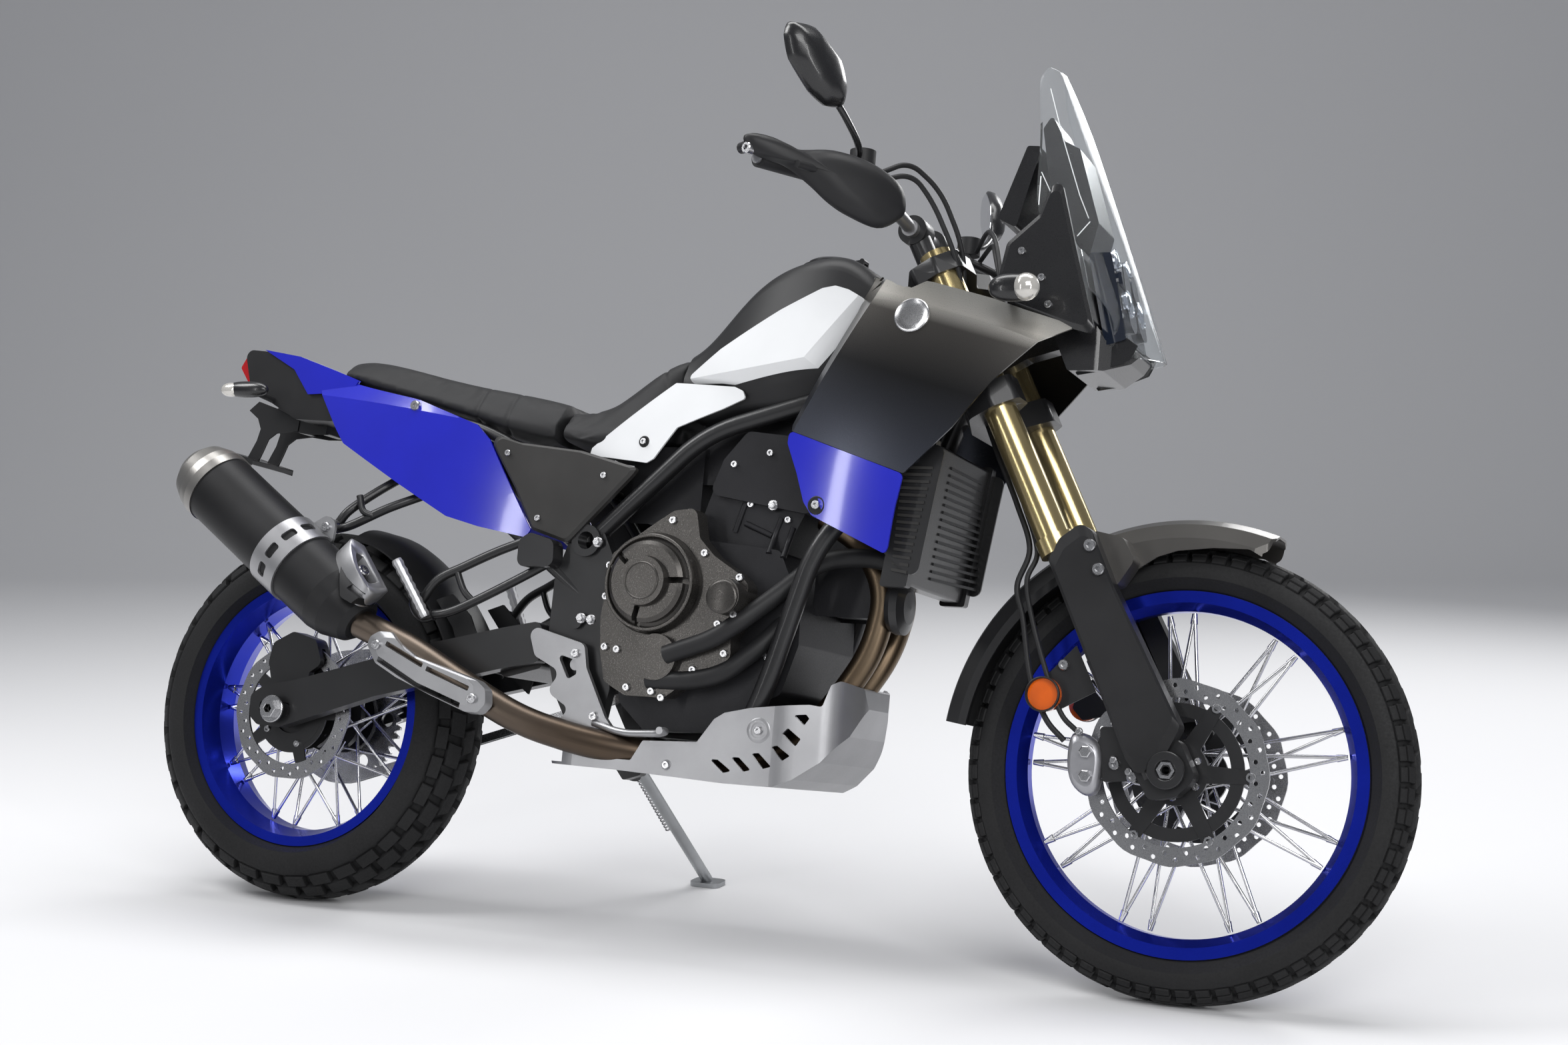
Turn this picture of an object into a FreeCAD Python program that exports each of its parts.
# Adventure motorcycle, drawn upright with the rear axle above the origin, then leaned onto its side stand.
# X runs forward, Y to the rider's left and Z up. All lengths are millimetres and all angles degrees.

import FreeCAD, Part
import math
import os
from types import SimpleNamespace
from FreeCAD import Placement, Rotation, Vector

doc = FreeCAD.newDocument("AdventureMotorcycle")

# Driving sizes
sheet = doc.addObject("Spreadsheet::Sheet", "Sizes")
sizes = {
    # Whole machine
    "wheelbase": 1595,
    "seat_height": 875,
    "half_width": 450,
    "lean_angle": 12,
    "rake_angle": 27,
    "trail_length": 105,
    "steering_lock": 36,
    "running_gap": 0.3,
    "overrun": 4,
    "corner_round": 14,
    "tight_round": 5,
    "rail_round": 9,
    # Wheels
    "front_tyre_radius": 347,
    "front_tyre_half_width": 45,
    "front_bead_radius": 267,
    "front_bead_half_width": 27,
    "front_rim_edge": 278,
    "rear_tyre_radius": 333,
    "rear_tyre_half_width": 75,
    "rear_bead_radius": 229,
    "rear_bead_half_width": 52,
    "rear_rim_edge": 239,
    "tyre_wall": 13,
    "rim_flange": 4,
    "rim_drop": 12,
    "rim_wall": 7,
    "hub_radius": 29,
    "rear_hub_radius": 45,
    "hub_flange_radius": 42,
    "rear_hub_flange_radius": 66,
    "hub_flange_place": 26,
    "rear_hub_flange_place": 38,
    "hub_flange_thick": 7,
    "axle_radius": 10,
    "axle_bore": 6,
    "spoke_radius": 2.2,
    "nipple_radius": 3.6,
    "nipple_length": 16,
    "spoke_stagger": 6,
    "spoke_rim_place": 9,
    # Brakes and chain
    "front_disc_radius": 141,
    "front_disc_inner": 112,
    "front_disc_place": 72,
    "rear_disc_radius": 122.5,
    "rear_disc_inner": 94,
    "rear_disc_place": 84,
    "disc_thick": 4.6,
    "disc_wave": 3,
    "disc_gap": 2.2,
    "carrier_arm": 20,
    "sprocket_pitch_radius": 116,
    "sprocket_place": 84,
    "sprocket_thick": 7,
    "front_sprocket_radius": 38,
    "chain_plate": 2.2,
    "chain_height": 15,
    "chain_gap": 1,
    "chain_roller_radius": 5,
    # Fork and steering
    "fork_offset": 38,
    "fork_place": 104,
    "fork_tube_radius": 26.5,
    "fork_inner_radius": 21.5,
    "fork_tube_bottom": 372,
    "fork_tube_top": 905,
    "fork_bore_top": 470,
    "fork_inner_top": 450,
    "fork_foot_size": 100,
    "fork_foot_inner": 86,
    "fork_foot_outer": 122,
    "stem_radius": 20,
    "head_tube_radius": 34,
    "head_tube_bottom": 672,
    "head_tube_top": 846,
    "lower_clamp_bottom": 622,
    "lower_clamp_top": 664,
    "upper_clamp_bottom": 862,
    "upper_clamp_top": 892,
    "bar_along": 979,
    "bar_forward": 11,
    "bar_radius": 11,
    "bar_centre_radius": 14,
    "bar_clamp_place": 48,
    "riser_radius": 19,
    "grip_radius": 16.5,
    "grip_length": 122,
    "guard_wall": 5,
    "mirror_depth": 34,
    "mirror_stem_radius": 5,
    "cable_radius": 4.2,
    # Frame and body
    "frame_tube": 15,
    "cradle_tube": 16,
    "subframe_tube": 11,
    "pivot_plate_inner": 96,
    "pivot_plate_outer": 118,
    "swingarm_inner": 101,
    "swingarm_outer": 131,
    "pivot_radius": 30,
    "pivot_pin_radius": 12,
    "engine_half_width": 118,
    "head_half_width": 112,
    "cover_reach": 200,
    "left_cover_reach": 172,
    "clutch_radius": 84,
    "seat_half_width": 122,
    "panel_wall": 4,
    "broad_dome": 1900,
    "tight_dome": 900,
    "disc_hole": 3.6,
    "skid_half_width": 152,
    "muffler_radius": 66,
    "muffler_place": 190,
    "header_radius": 21,
    "pipe_radius": 25,
    "stand_tube": 13,
    "stand_pin_radius": 7,
    "screen_wall": 3.5,
    "lamp_radius": 26,
    "bolt_radius": 5,
    "horn_radius": 44,
    "cap_radius": 46,
    "cap_knuckle": 4,
    "cap_pin_radius": 2,
    "pin_gap": 0.06,
}
for row, (alias, amount) in enumerate(sizes.items(), start=1):
    sheet.set(f"A{row}", alias)
    sheet.set(f"B{row}", str(amount))
    sheet.setAlias(f"B{row}", alias)
doc.recompute()
d = SimpleNamespace(**{alias: float(sheet.get(alias)) for alias in sizes})

ALONG_Y = Vector(0, 1, 0)
UP = Vector(0, 0, 1)
FORWARD = Vector(1, 0, 0)
nodes = {}


def keep(label, thing):
    """Name a finished piece: a document object as it is, or a shape as a feature of its own."""
    if isinstance(thing, Part.Shape):
        feature = doc.addObject("Part::Feature", label)
        feature.Shape = thing
        thing = feature
    thing.Label = label
    nodes[label] = thing
    return thing


def spot(x_share, y, z_share):
    """A point from a share of the wheelbase, a place across and a share of the seat height."""
    return Vector(x_share * d.wheelbase, y, z_share * d.seat_height)


def spots(shares):
    """Points from shares of the wheelbase, the half width and the seat height."""
    return [spot(x_share, y_share * d.half_width, z_share) for x_share, y_share, z_share in shares]


def flat(shares, y):
    """Points of a side outline at one place across the machine."""
    return [spot(x_share, y, z_share) for x_share, z_share in shares]


def corner_arc(before, corner, after, reach):
    """The tangent arc that rounds a corner, from reach before it to reach after it."""
    into = (corner - before).normalize()
    out = (after - corner).normalize()
    half_turn = into.getAngle(out) / 2
    start = corner - into * reach
    end = corner + out * reach
    if half_turn < math.radians(1):
        return start, end, None
    radius = reach / math.tan(half_turn)
    middle = corner + (out - into).normalize() * (radius / math.cos(half_turn) - radius)
    return start, end, Part.Arc(start, middle, end).toShape()


def round_loop(points, radius):
    """A closed outline with its corners rounded, as far as its sides allow."""
    arcs = []
    count = len(points)
    for index in range(count):
        before = points[index - 1]
        corner = points[index]
        after = points[(index + 1) % count]
        into = (corner - before).normalize()
        out = (after - corner).normalize()
        half_turn = max(into.getAngle(out) / 2, math.radians(1))
        shorter = min((corner - before).Length, (after - corner).Length)
        reach = min(radius * math.tan(half_turn), 0.45 * shorter)
        arcs.append(corner_arc(before, corner, after, reach))
    edges = []
    for index in range(count):
        start, end, arc = arcs[index]
        if arc is None:
            edges.append(Part.LineSegment(start, end).toShape())
        else:
            edges.append(arc)
        edges.append(Part.LineSegment(end, arcs[(index + 1) % count][0]).toShape())
    return Part.Wire(edges)


def plate(points, reach, radius):
    """A flat plate: a rounded outline pushed out by the vector reach."""
    return solid_of(Part.Face(round_loop(points, radius)).extrude(reach))


def slab(shares, y_low, y_high, radius):
    """A side outline between two places across the machine."""
    return plate(flat(shares, y_low), ALONG_Y * (y_high - y_low), radius)


def shrunk(points, share):
    """The points drawn towards their middle by a share."""
    middle = sum(points, Vector()) * (1 / len(points))
    return [middle + (point - middle) * share for point in points]


def pod(shares, levels, radius):
    """A moulded cover: one outline lofted through places across, each drawn in by its own share."""
    loops = [round_loop(shrunk(flat(shares, y), share), radius * share) for y, share in levels]
    return solid_of(Part.makeLoft(loops, True, True))


def solid_of(shape):
    """The shape with its solids facing outwards."""
    solids = []
    for solid in shape.Solids:
        solids.append(solid if solid.Volume > 0 else solid.reversed())
    if len(solids) == 1:
        return solids[0]
    return Part.makeCompound(solids)


def bent_path(points):
    """Straight runs joined by tangent arcs, each as large as its two runs allow."""
    edges = []
    start = points[0]
    for before, corner, after in zip(points, points[1:], points[2:]):
        reach = 0.45 * min((corner - before).Length, (after - corner).Length)
        arc_start, arc_end, arc = corner_arc(before, corner, after, reach)
        if arc is None:
            continue
        edges.append(Part.LineSegment(start, arc_start).toShape())
        edges.append(arc)
        start = arc_end
    edges.append(Part.LineSegment(start, points[-1]).toShape())
    return Part.Wire(edges)


def rod(points, radius):
    """A round bar along a bent path."""
    ring = Part.Wire(Part.makeCircle(radius, points[0], points[1] - points[0]))
    return solid_of(bent_path(points).makePipeShell([ring], True, False))


def bar(start, end, radius):
    """A straight round bar between two points."""
    return Part.makeCylinder(radius, (end - start).Length, start, end - start)


def spun(profile, base, axis, across):
    """A turned piece: (radius, along) pairs turned about the axis through base."""
    points = [base + axis * along + across * radius for radius, along in profile]
    return solid_of(Part.Face(Part.makePolygon(points + points[:1])).revolve(base, axis, 360))


def disc(centre, radius, y_low, y_high):
    """A flat round piece across the machine."""
    return Part.makeCylinder(radius, y_high - y_low, Vector(centre.x, y_low, centre.z), ALONG_Y)


def other_side(shape):
    """The same piece on the other side of the machine."""
    return shape.mirror(Vector(), ALONG_Y)


def pair(shape):
    """A piece and its mirror image as two solids."""
    return Part.makeCompound([solid_of(shape), solid_of(other_side(shape))])


def joined(*shapes):
    """Several overlapping pieces as one."""
    return solid_of(shapes[0].multiFuse(list(shapes[1:])).removeSplitter())


def less(shape, *tools):
    """The shape with the tools cut away."""
    return solid_of(shape.cut(list(tools)))


def biggest(shape):
    """The largest solid of a shape."""
    return solid_of(max(shape.Solids, key=lambda solid: solid.Volume))


def dome(at, facing, radius):
    """A ball whose skin passes through a point and faces a way there."""
    return at - facing.normalize() * radius, radius


def within(block, domes, shrink):
    """The part of a block inside all of the balls, each drawn in by the same amount."""
    for centre, radius in domes:
        block = block.common(Part.makeSphere(radius - shrink, centre))
    return block


def moulding(shares, domes, depth, radius, posts):
    """A moulded shell: a side outline of the skin between crossing balls, with posts to what carries it."""
    block = slab(shares, -d.half_width, -depth, radius)
    shell = less(within(block, domes, 0), within(block, domes, d.panel_wall))
    pieces = []
    for post in spots(posts):
        pieces.append(within(disc(post, d.bolt_radius * 1.6, -d.half_width, post.y), domes, d.panel_wall / 2))
    return joined(biggest(shell), *pieces)


def shape_of(*labels):
    """The shapes of pieces already named."""
    return [nodes[label].Shape for label in labels]


# Steering geometry, worked out from rake, trail and the front wheel
rake = math.radians(d.rake_angle)
lean = math.radians(d.lean_angle)
steer_axis = Vector(-math.sin(rake), 0, math.cos(rake))
steer_out = Vector(math.cos(rake), 0, math.sin(rake))
rear_axle = Vector(0, 0, d.rear_tyre_radius)
lift = d.rear_tyre_half_width * (1 - math.cos(lean))
front_crown = d.front_tyre_radius - d.front_tyre_half_width
front_axle_height = (front_crown * math.cos(lean) + d.front_tyre_half_width - lift) / math.cos(lean)
front_axle = Vector(d.wheelbase, 0, front_axle_height)
axle_offset = d.front_tyre_radius * math.sin(rake) - d.trail_length * math.cos(rake)
steer_base = front_axle - steer_out * axle_offset


def on_fork(forward, side, along):
    """A point by its distance ahead of the steering axis, across, and up along the axis."""
    return steer_base + steer_out * forward + ALONG_Y * side + steer_axis * along


# Wheels
def wheel_profile(tyre_radius, half_width, bead_radius, bead_half, rim_edge):
    """The tyre's closed section as (radius, along) pairs, hollow and open to the rim."""
    crown = tyre_radius - half_width
    bead = bead_half - d.running_gap
    section = [(bead_radius + d.running_gap, bead)]
    section.append((rim_edge + d.running_gap * 2, bead))
    for turn in (78, 62, 46, 30, 15, 0, -15, -30, -46, -62, -78):
        angle = math.radians(turn)
        section.append((crown + half_width * math.cos(angle), half_width * math.sin(angle)))
    section.append((rim_edge + d.running_gap * 2, -bead))
    section.append((bead_radius + d.running_gap, -bead))
    section.append((bead_radius + d.running_gap, -bead + d.tyre_wall / 2))
    inner = half_width - d.tyre_wall
    for turn in (-60, -20, 20, 60):
        angle = math.radians(turn)
        section.append((crown + inner * math.cos(angle), inner * math.sin(angle)))
    section.append((bead_radius + d.running_gap, bead - d.tyre_wall / 2))
    return section


def rim_profile(bead_radius, bead_half, rim_edge):
    """The rim's section: two flanges, two bead seats and a drop centre."""
    outer = bead_half + d.rim_flange
    seat = bead_half * 0.6
    drop = bead_half * 0.4
    half = [(rim_edge, outer), (rim_edge, bead_half), (bead_radius, bead_half), (bead_radius, seat)]
    half.append((bead_radius - d.rim_drop, drop))
    under = [(bead_radius - d.rim_wall, outer), (bead_radius - d.rim_drop - d.rim_wall, drop)]
    section = half + [(radius, -along) for radius, along in reversed(half)]
    section += [(radius, -along) for radius, along in under]
    section += list(reversed(under))
    return section


def spoked_hub(centre, hub_profile, flange_radius, flange_place, rim_radius, spokes):
    """A hub with its crossed wire spokes, each ending in a nipple just under the rim."""
    hub = spun(hub_profile, centre, ALONG_Y, FORWARD)
    wires = []
    for index in range(spokes):
        side = 1 if index % 2 else -1
        lead = 1 if index % 4 < 2 else -1
        start_turn = math.radians(360 * index / spokes)
        end_turn = start_turn + lead * math.radians(360 * 5 / spokes)
        heads = flange_place + lead * d.spoke_stagger
        root = flange_radius - d.hub_flange_thick
        start = centre + Vector(root * math.cos(start_turn), side * heads, root * math.sin(start_turn))
        reach = rim_radius - d.nipple_radius
        place = side * d.spoke_rim_place
        end = centre + Vector(reach * math.cos(end_turn), place, reach * math.sin(end_turn))
        along = (end - start).normalize()
        wires.append(bar(start, end, d.spoke_radius))
        wires.append(bar(end - along * d.nipple_length, end, d.nipple_radius))
    return joined(hub, *wires)


def hub_section(radius, flange_radius, flange_place, ends, seat_radius):
    """A hub's section: barrel, two spoke flanges and the seats of the discs, bored for the axle."""
    bore = d.axle_radius + d.running_gap
    low = flange_place - d.hub_flange_thick
    high = flange_place + d.hub_flange_thick
    step = ends - d.hub_flange_thick
    half = [(radius, 0), (radius, low), (flange_radius, low), (flange_radius, high), (radius, high)]
    half += [(radius, step), (seat_radius, step), (seat_radius, ends), (bore, ends)]
    return half + [(r, -y) for r, y in reversed(half[1:])]


def wave_disc(centre, place, outer, inner, hub_seat, arms, waves):
    """A wave brake disc: a rippled ring with two rows of holes, and its carrier with open arms."""
    low = place - d.disc_thick / 2
    high = place + d.disc_thick / 2
    ripple = []
    for index in range(waves * 6):
        turn = 2 * math.pi * index / (waves * 6)
        radius = outer - d.disc_wave * (0.5 - 0.5 * math.cos(waves * turn))
        ripple.append(centre + Vector(radius * math.cos(turn), low, radius * math.sin(turn)))
    ring = Part.Face(Part.makePolygon(ripple + ripple[:1])).extrude(ALONG_Y * d.disc_thick)
    hollow = disc(centre, inner, low - d.overrun, high + d.overrun)
    holes = []
    for index in range(waves * 4):
        turn = 2 * math.pi * (index + 0.5) / (waves * 4)
        reach = inner + (outer - d.disc_wave - inner) * (0.34 if index % 2 else 0.7)
        hole = centre + Vector(reach * math.cos(turn), 0, reach * math.sin(turn))
        holes.append(disc(hole, d.disc_hole, low - d.overrun, high + d.overrun))
    ring = less(ring, hollow, *holes)
    boss = disc(centre, hub_seat, low, high)
    pieces = []
    for index in range(arms):
        turn = 2 * math.pi * index / arms
        out = Vector(math.cos(turn), 0, math.sin(turn))
        across = Vector(-math.sin(turn), 0, math.cos(turn))
        half = across * (d.carrier_arm / 2)
        foot = centre + ALONG_Y * low + out * (hub_seat / 2)
        tip = centre + ALONG_Y * low + out * (inner + d.overrun)
        corners = [foot - half * 1.5, tip - half, tip + half, foot + half * 1.5]
        pieces.append(Part.Face(Part.makePolygon(corners + corners[:1])).extrude(ALONG_Y * d.disc_thick))
    carrier = less(joined(boss, *pieces), disc(centre, hub_seat * 0.6, low - d.overrun, high + d.overrun))
    return ring, less(carrier, ring)


front_seat = d.front_disc_place - d.disc_thick / 2
rear_seat = d.rear_disc_place - d.disc_thick / 2
front_section = wheel_profile(d.front_tyre_radius, d.front_tyre_half_width, d.front_bead_radius,
                              d.front_bead_half_width, d.front_rim_edge)
keep("front_tyre", spun(front_section, front_axle, ALONG_Y, FORWARD))
rear_section = wheel_profile(d.rear_tyre_radius, d.rear_tyre_half_width, d.rear_bead_radius,
                             d.rear_bead_half_width, d.rear_rim_edge)
keep("rear_tyre", spun(rear_section, rear_axle, ALONG_Y, FORWARD))
front_rim_section = rim_profile(d.front_bead_radius, d.front_bead_half_width, d.front_rim_edge)
keep("front_rim", spun(front_rim_section, front_axle, ALONG_Y, FORWARD))
rear_rim_section = rim_profile(d.rear_bead_radius, d.rear_bead_half_width, d.rear_rim_edge)
keep("rear_rim", spun(rear_rim_section, rear_axle, ALONG_Y, FORWARD))
front_hub_seat = d.hub_flange_radius
front_hub_section = hub_section(d.hub_radius, d.hub_flange_radius, d.hub_flange_place, front_seat,
                                front_hub_seat)
front_rim_inner = d.front_bead_radius - d.rim_drop - d.rim_wall
keep("front_hub", spoked_hub(front_axle, front_hub_section, d.hub_flange_radius,
                             d.hub_flange_place, front_rim_inner, 36))
rear_hub_section = hub_section(d.rear_hub_radius, d.rear_hub_flange_radius, d.rear_hub_flange_place,
                               rear_seat, d.rear_hub_flange_radius)
rear_rim_inner = d.rear_bead_radius - d.rim_drop - d.rim_wall
keep("rear_hub", spoked_hub(rear_axle, rear_hub_section, d.rear_hub_flange_radius,
                            d.rear_hub_flange_place, rear_rim_inner, 36))
front_ring, front_carrier = wave_disc(front_axle, -d.front_disc_place, d.front_disc_radius,
                                      d.front_disc_inner,
                                      front_hub_seat, 6, 12)
keep("front_discs", pair(front_ring))
keep("front_disc_carriers", pair(front_carrier))
rear_ring, rear_carrier = wave_disc(rear_axle, -d.rear_disc_place, d.rear_disc_radius, d.rear_disc_inner,
                                    d.rear_hub_flange_radius, 5, 10)
keep("rear_disc", rear_ring)
keep("rear_disc_carrier", rear_carrier)


def sprocket(centre, place, pitch_radius, teeth, seat):
    """A chain wheel with pointed teeth and a ring of lightening holes."""
    low = place - d.sprocket_thick / 2
    points = []
    for index in range(teeth * 4):
        turn = 2 * math.pi * index / (teeth * 4)
        radius = pitch_radius + (d.chain_roller_radius if index % 4 in (0, 1) else -d.chain_roller_radius)
        points.append(centre + Vector(radius * math.cos(turn), low, radius * math.sin(turn)))
    wheel = Part.Face(Part.makePolygon(points + points[:1])).extrude(ALONG_Y * d.sprocket_thick)
    holes = [disc(centre, seat * 0.6, low - d.overrun, place + d.sprocket_thick)]
    ring = (pitch_radius + seat) / 2
    for index in range(6):
        turn = 2 * math.pi * index / 6
        hole = centre + Vector(ring * math.cos(turn), 0, ring * math.sin(turn))
        holes.append(disc(hole, (pitch_radius - seat) / 4, low - d.overrun, place + d.sprocket_thick))
    return less(wheel, *holes)


keep("rear_sprocket", less(sprocket(rear_axle, d.sprocket_place, d.sprocket_pitch_radius, 46,
                                    d.rear_hub_flange_radius), nodes["rear_hub"].Shape))


# Fork and steering
def fork_plate(shares, along_low, along_high, radius):
    """A clamp: an outline of (forward, side) shares of the fork place, thick along the steering axis."""
    points = [on_fork(forward * d.fork_place, side * d.fork_place, along_low) for forward, side in shares]
    return plate(points, steer_axis * (along_high - along_low), radius)


def turning_room(shares, along_low, along_high):
    """The space a clamp sweeps from lock to lock, with clearance, as turned copies of its outline."""
    wider = 1 + d.overrun * 1.5 / d.fork_place
    outline = [(forward * wider, side * wider) for forward, side in shares]
    room = fork_plate(outline, along_low - d.overrun * 1.5, along_high + d.overrun * 1.5, d.corner_round)
    return turned_rooms(room)


def turned_rooms(room):
    """Copies of a space at places from lock to lock."""
    copies = []
    for step in range(-4, 5):
        copy = room.copy()
        copy.rotate(on_fork(0, 0, 0), steer_axis, d.steering_lock * step / 4)
        copies.append(copy)
    return copies


def fork_rod(side, radius, along_low, along_high):
    """A round bar on one fork leg's own axis."""
    return bar(on_fork(d.fork_offset, side, along_low), on_fork(d.fork_offset, side, along_high), radius)


gold = fork_rod(-d.fork_place, d.fork_tube_radius, d.fork_tube_bottom, d.fork_tube_top)
gold_bore = fork_rod(-d.fork_place, d.fork_inner_radius + d.running_gap,
                     d.fork_tube_bottom - d.overrun, d.fork_bore_top)
collar = fork_rod(-d.fork_place, d.fork_tube_radius + d.overrun, d.fork_tube_bottom,
                  d.fork_tube_bottom + d.fork_tube_radius)
keep("fork_tubes", pair(less(joined(gold, collar), gold_bore)))

fork_foot_shares = [(0.16, 1.7), (0.6, 1.7), (0.64, 0.75), (0.98, 0.3), (0.98, -0.26), (0.6, -0.4),
                    (0.2, -0.3), (0.12, 0.6)]
foot_points = [on_fork(forward * d.fork_foot_size, -d.fork_foot_outer, along * d.fork_foot_size)
               for forward, along in fork_foot_shares]
foot = plate(foot_points, ALONG_Y * (d.fork_foot_outer - d.fork_foot_inner), d.corner_round)
leg_top = fork_rod(-d.fork_place, d.fork_inner_radius, 0, d.fork_inner_top)
leg_swell = fork_rod(-d.fork_place, d.fork_tube_radius, d.fork_foot_size * 0.5, d.fork_foot_size * 2)
caliper_lug_shares = [
    (0.938, 0.368), (0.978, 0.377), (0.973, 0.466), (0.932, 0.462),
]
caliper_lug = slab(caliper_lug_shares, -d.fork_foot_outer + d.overrun * 2, -d.fork_foot_inner, d.tight_round)
leg = joined(foot, leg_top, leg_swell, caliper_lug)
axle_hole = disc(front_axle, d.axle_radius, -d.fork_foot_outer - d.overrun, d.fork_foot_outer + d.overrun)
right_leg = less(leg, axle_hole)
spindle = disc(front_axle, d.axle_radius, -d.fork_foot_outer - d.overrun, d.fork_foot_outer + d.overrun)
spacer_inner = d.front_disc_place - d.disc_thick / 2 + d.running_gap
spacer = disc(front_axle, d.axle_radius * 1.7, spacer_inner, d.fork_foot_inner)
axle_nut = disc(front_axle, d.axle_radius * 1.9, d.fork_foot_outer, d.fork_foot_outer + d.overrun * 3)
fork_legs = joined(right_leg, other_side(right_leg), spindle, spacer, other_side(spacer), axle_nut,
                   other_side(axle_nut))
keep("fork_legs", less(fork_legs, disc(front_axle, d.axle_bore, -d.half_width, d.half_width)))

lower_clamp_shares = [(-0.3, -0.5), (-0.08, -1.26), (0.36, -1.34), (0.74, -1.18), (0.74, -0.7), (0.3, -0.35),
                      (0.3, 0.35), (0.74, 0.7), (0.74, 1.2), (0.36, 1.44), (-0.08, 1.3), (-0.3, 0.5)]
upper_clamp_shares = [(-0.34, -0.6), (-0.06, -1.24), (0.36, -1.33), (0.72, -1.18), (0.74, -0.5), (0.56, 0),
                      (0.74, 0.5), (0.72, 1.2), (0.36, 1.4), (-0.06, 1.28), (-0.34, 0.6)]
lower_clamp = fork_plate(lower_clamp_shares, d.lower_clamp_bottom, d.lower_clamp_top, d.corner_round)
upper_clamp = fork_plate(upper_clamp_shares, d.upper_clamp_bottom, d.upper_clamp_top, d.corner_round)
stem = bar(on_fork(0, 0, d.lower_clamp_bottom), on_fork(0, 0, d.upper_clamp_top + d.overrun), d.stem_radius)
stem_nut = bar(on_fork(0, 0, d.upper_clamp_top), on_fork(0, 0, d.upper_clamp_top + d.overrun * 3),
               d.stem_radius * 0.9)
risers = []
for side in (-d.bar_clamp_place, d.bar_clamp_place):
    base = on_fork(d.bar_forward, side, d.upper_clamp_top - d.overrun)
    top = on_fork(d.bar_forward, side, d.bar_along - d.bar_centre_radius * 0.4)
    risers.append(bar(base, top, d.riser_radius))
    head = on_fork(d.bar_forward, side - d.riser_radius * 1.1, d.bar_along)
    risers.append(Part.makeCylinder(d.bar_centre_radius * 1.75, d.riser_radius * 2.2, head, ALONG_Y))
clamps = joined(lower_clamp, upper_clamp, stem, stem_nut, *risers)

bar_shares = [
    (0.617, -0.96, 1.385), (0.652, -0.711, 1.39), (0.68, -0.458, 1.401),
    (0.69, -0.244, 1.373),
]
bar_middle = on_fork(d.bar_forward, 0, d.bar_along)
right_bar = spots(bar_shares)
left_bar = [Vector(point.x, -point.y, point.z) for point in reversed(right_bar)]
near = Vector(bar_middle.x, -d.bar_clamp_place * 1.7, bar_middle.z)
far = Vector(bar_middle.x, d.bar_clamp_place * 1.7, bar_middle.z)
handlebar = rod(right_bar + [near, far] + left_bar, d.bar_radius)
bar_middle_part = bar(near, far, d.bar_centre_radius)
handlebar = joined(handlebar, bar_middle_part)
keep("handlebar", handlebar)
clamps = less(clamps, handlebar, *shape_of("fork_tubes"))
keep("fork_clamps", clamps)

# Guards over the lower fork
guard_shares = [
    (0.874, 0.744), (0.883, 0.782), (0.903, 0.811), (0.915, 0.798), (0.939, 0.705),
    (0.988, 0.545), (1.011, 0.47), (0.997, 0.414), (0.974, 0.382), (0.962, 0.408),
]
guard_inner = d.fork_place - d.fork_inner_radius * 0.2
guard_outer = d.fork_place + d.fork_tube_radius + d.overrun * 2
fork_guard = pod(guard_shares, [(-guard_inner, 1), (-guard_outer + d.overrun, 1), (-guard_outer, 0.9)],
                 d.corner_round)
reflector_arm_shares = [
    (0.864, 0.503), (0.868, 0.528), (0.903, 0.599), (0.94, 0.617), (0.94, 0.537),
    (0.893, 0.489), (0.875, 0.482),
]
reflector_inner = guard_inner + d.overrun * 2
reflector_outer = reflector_inner + d.panel_wall
reflector_arm = slab(reflector_arm_shares, -reflector_outer, -reflector_inner, d.tight_round)
guard_hollow = fork_rod(-d.fork_place, d.fork_tube_radius + d.overrun + d.running_gap, 0, d.fork_bore_top)
fork_guard = less(joined(fork_guard, reflector_arm), guard_hollow, *shape_of("fork_legs"))
keep("fork_guards", pair(fork_guard))
reflector_at = spot(0.8759, 0, 0.511)
reflector = disc(reflector_at, d.fork_tube_radius, -reflector_outer - d.overrun * 2, -reflector_outer)
keep("fork_reflectors", pair(reflector))

# Front fender over the tyre, with its rear part down behind it
fender_half_width = d.front_tyre_half_width * 1.36
fender_radius = d.front_tyre_radius + d.front_tyre_half_width * 0.91


def fender_part(turn_from, turn_to, skirt):
    """A strip of the fender between two turns about the front axle, its skirts down to a radius."""
    wall = d.panel_wall
    outer = [(skirt, -fender_half_width), (fender_radius - wall * 8, -fender_half_width * 0.98),
             (fender_radius - wall * 2.4, -fender_half_width * 0.8),
             (fender_radius, -fender_half_width * 0.4)]
    inner = [(radius - wall * 0.9, along * 0.93) for radius, along in outer]
    inner[0] = (skirt, -fender_half_width * 0.93)
    half = outer + [(radius, -along) for radius, along in reversed(outer)]
    section = half + [(radius, -along) for radius, along in inner]
    section += [(radius, along) for radius, along in reversed(inner)]
    begin = Rotation(ALONG_Y, -turn_from).multVec(FORWARD)
    points = [front_axle + ALONG_Y * along + begin * radius for radius, along in section]
    face = Part.Face(Part.makePolygon(points + points[:1]))
    return solid_of(face.revolve(front_axle, ALONG_Y, turn_from - turn_to))


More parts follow.
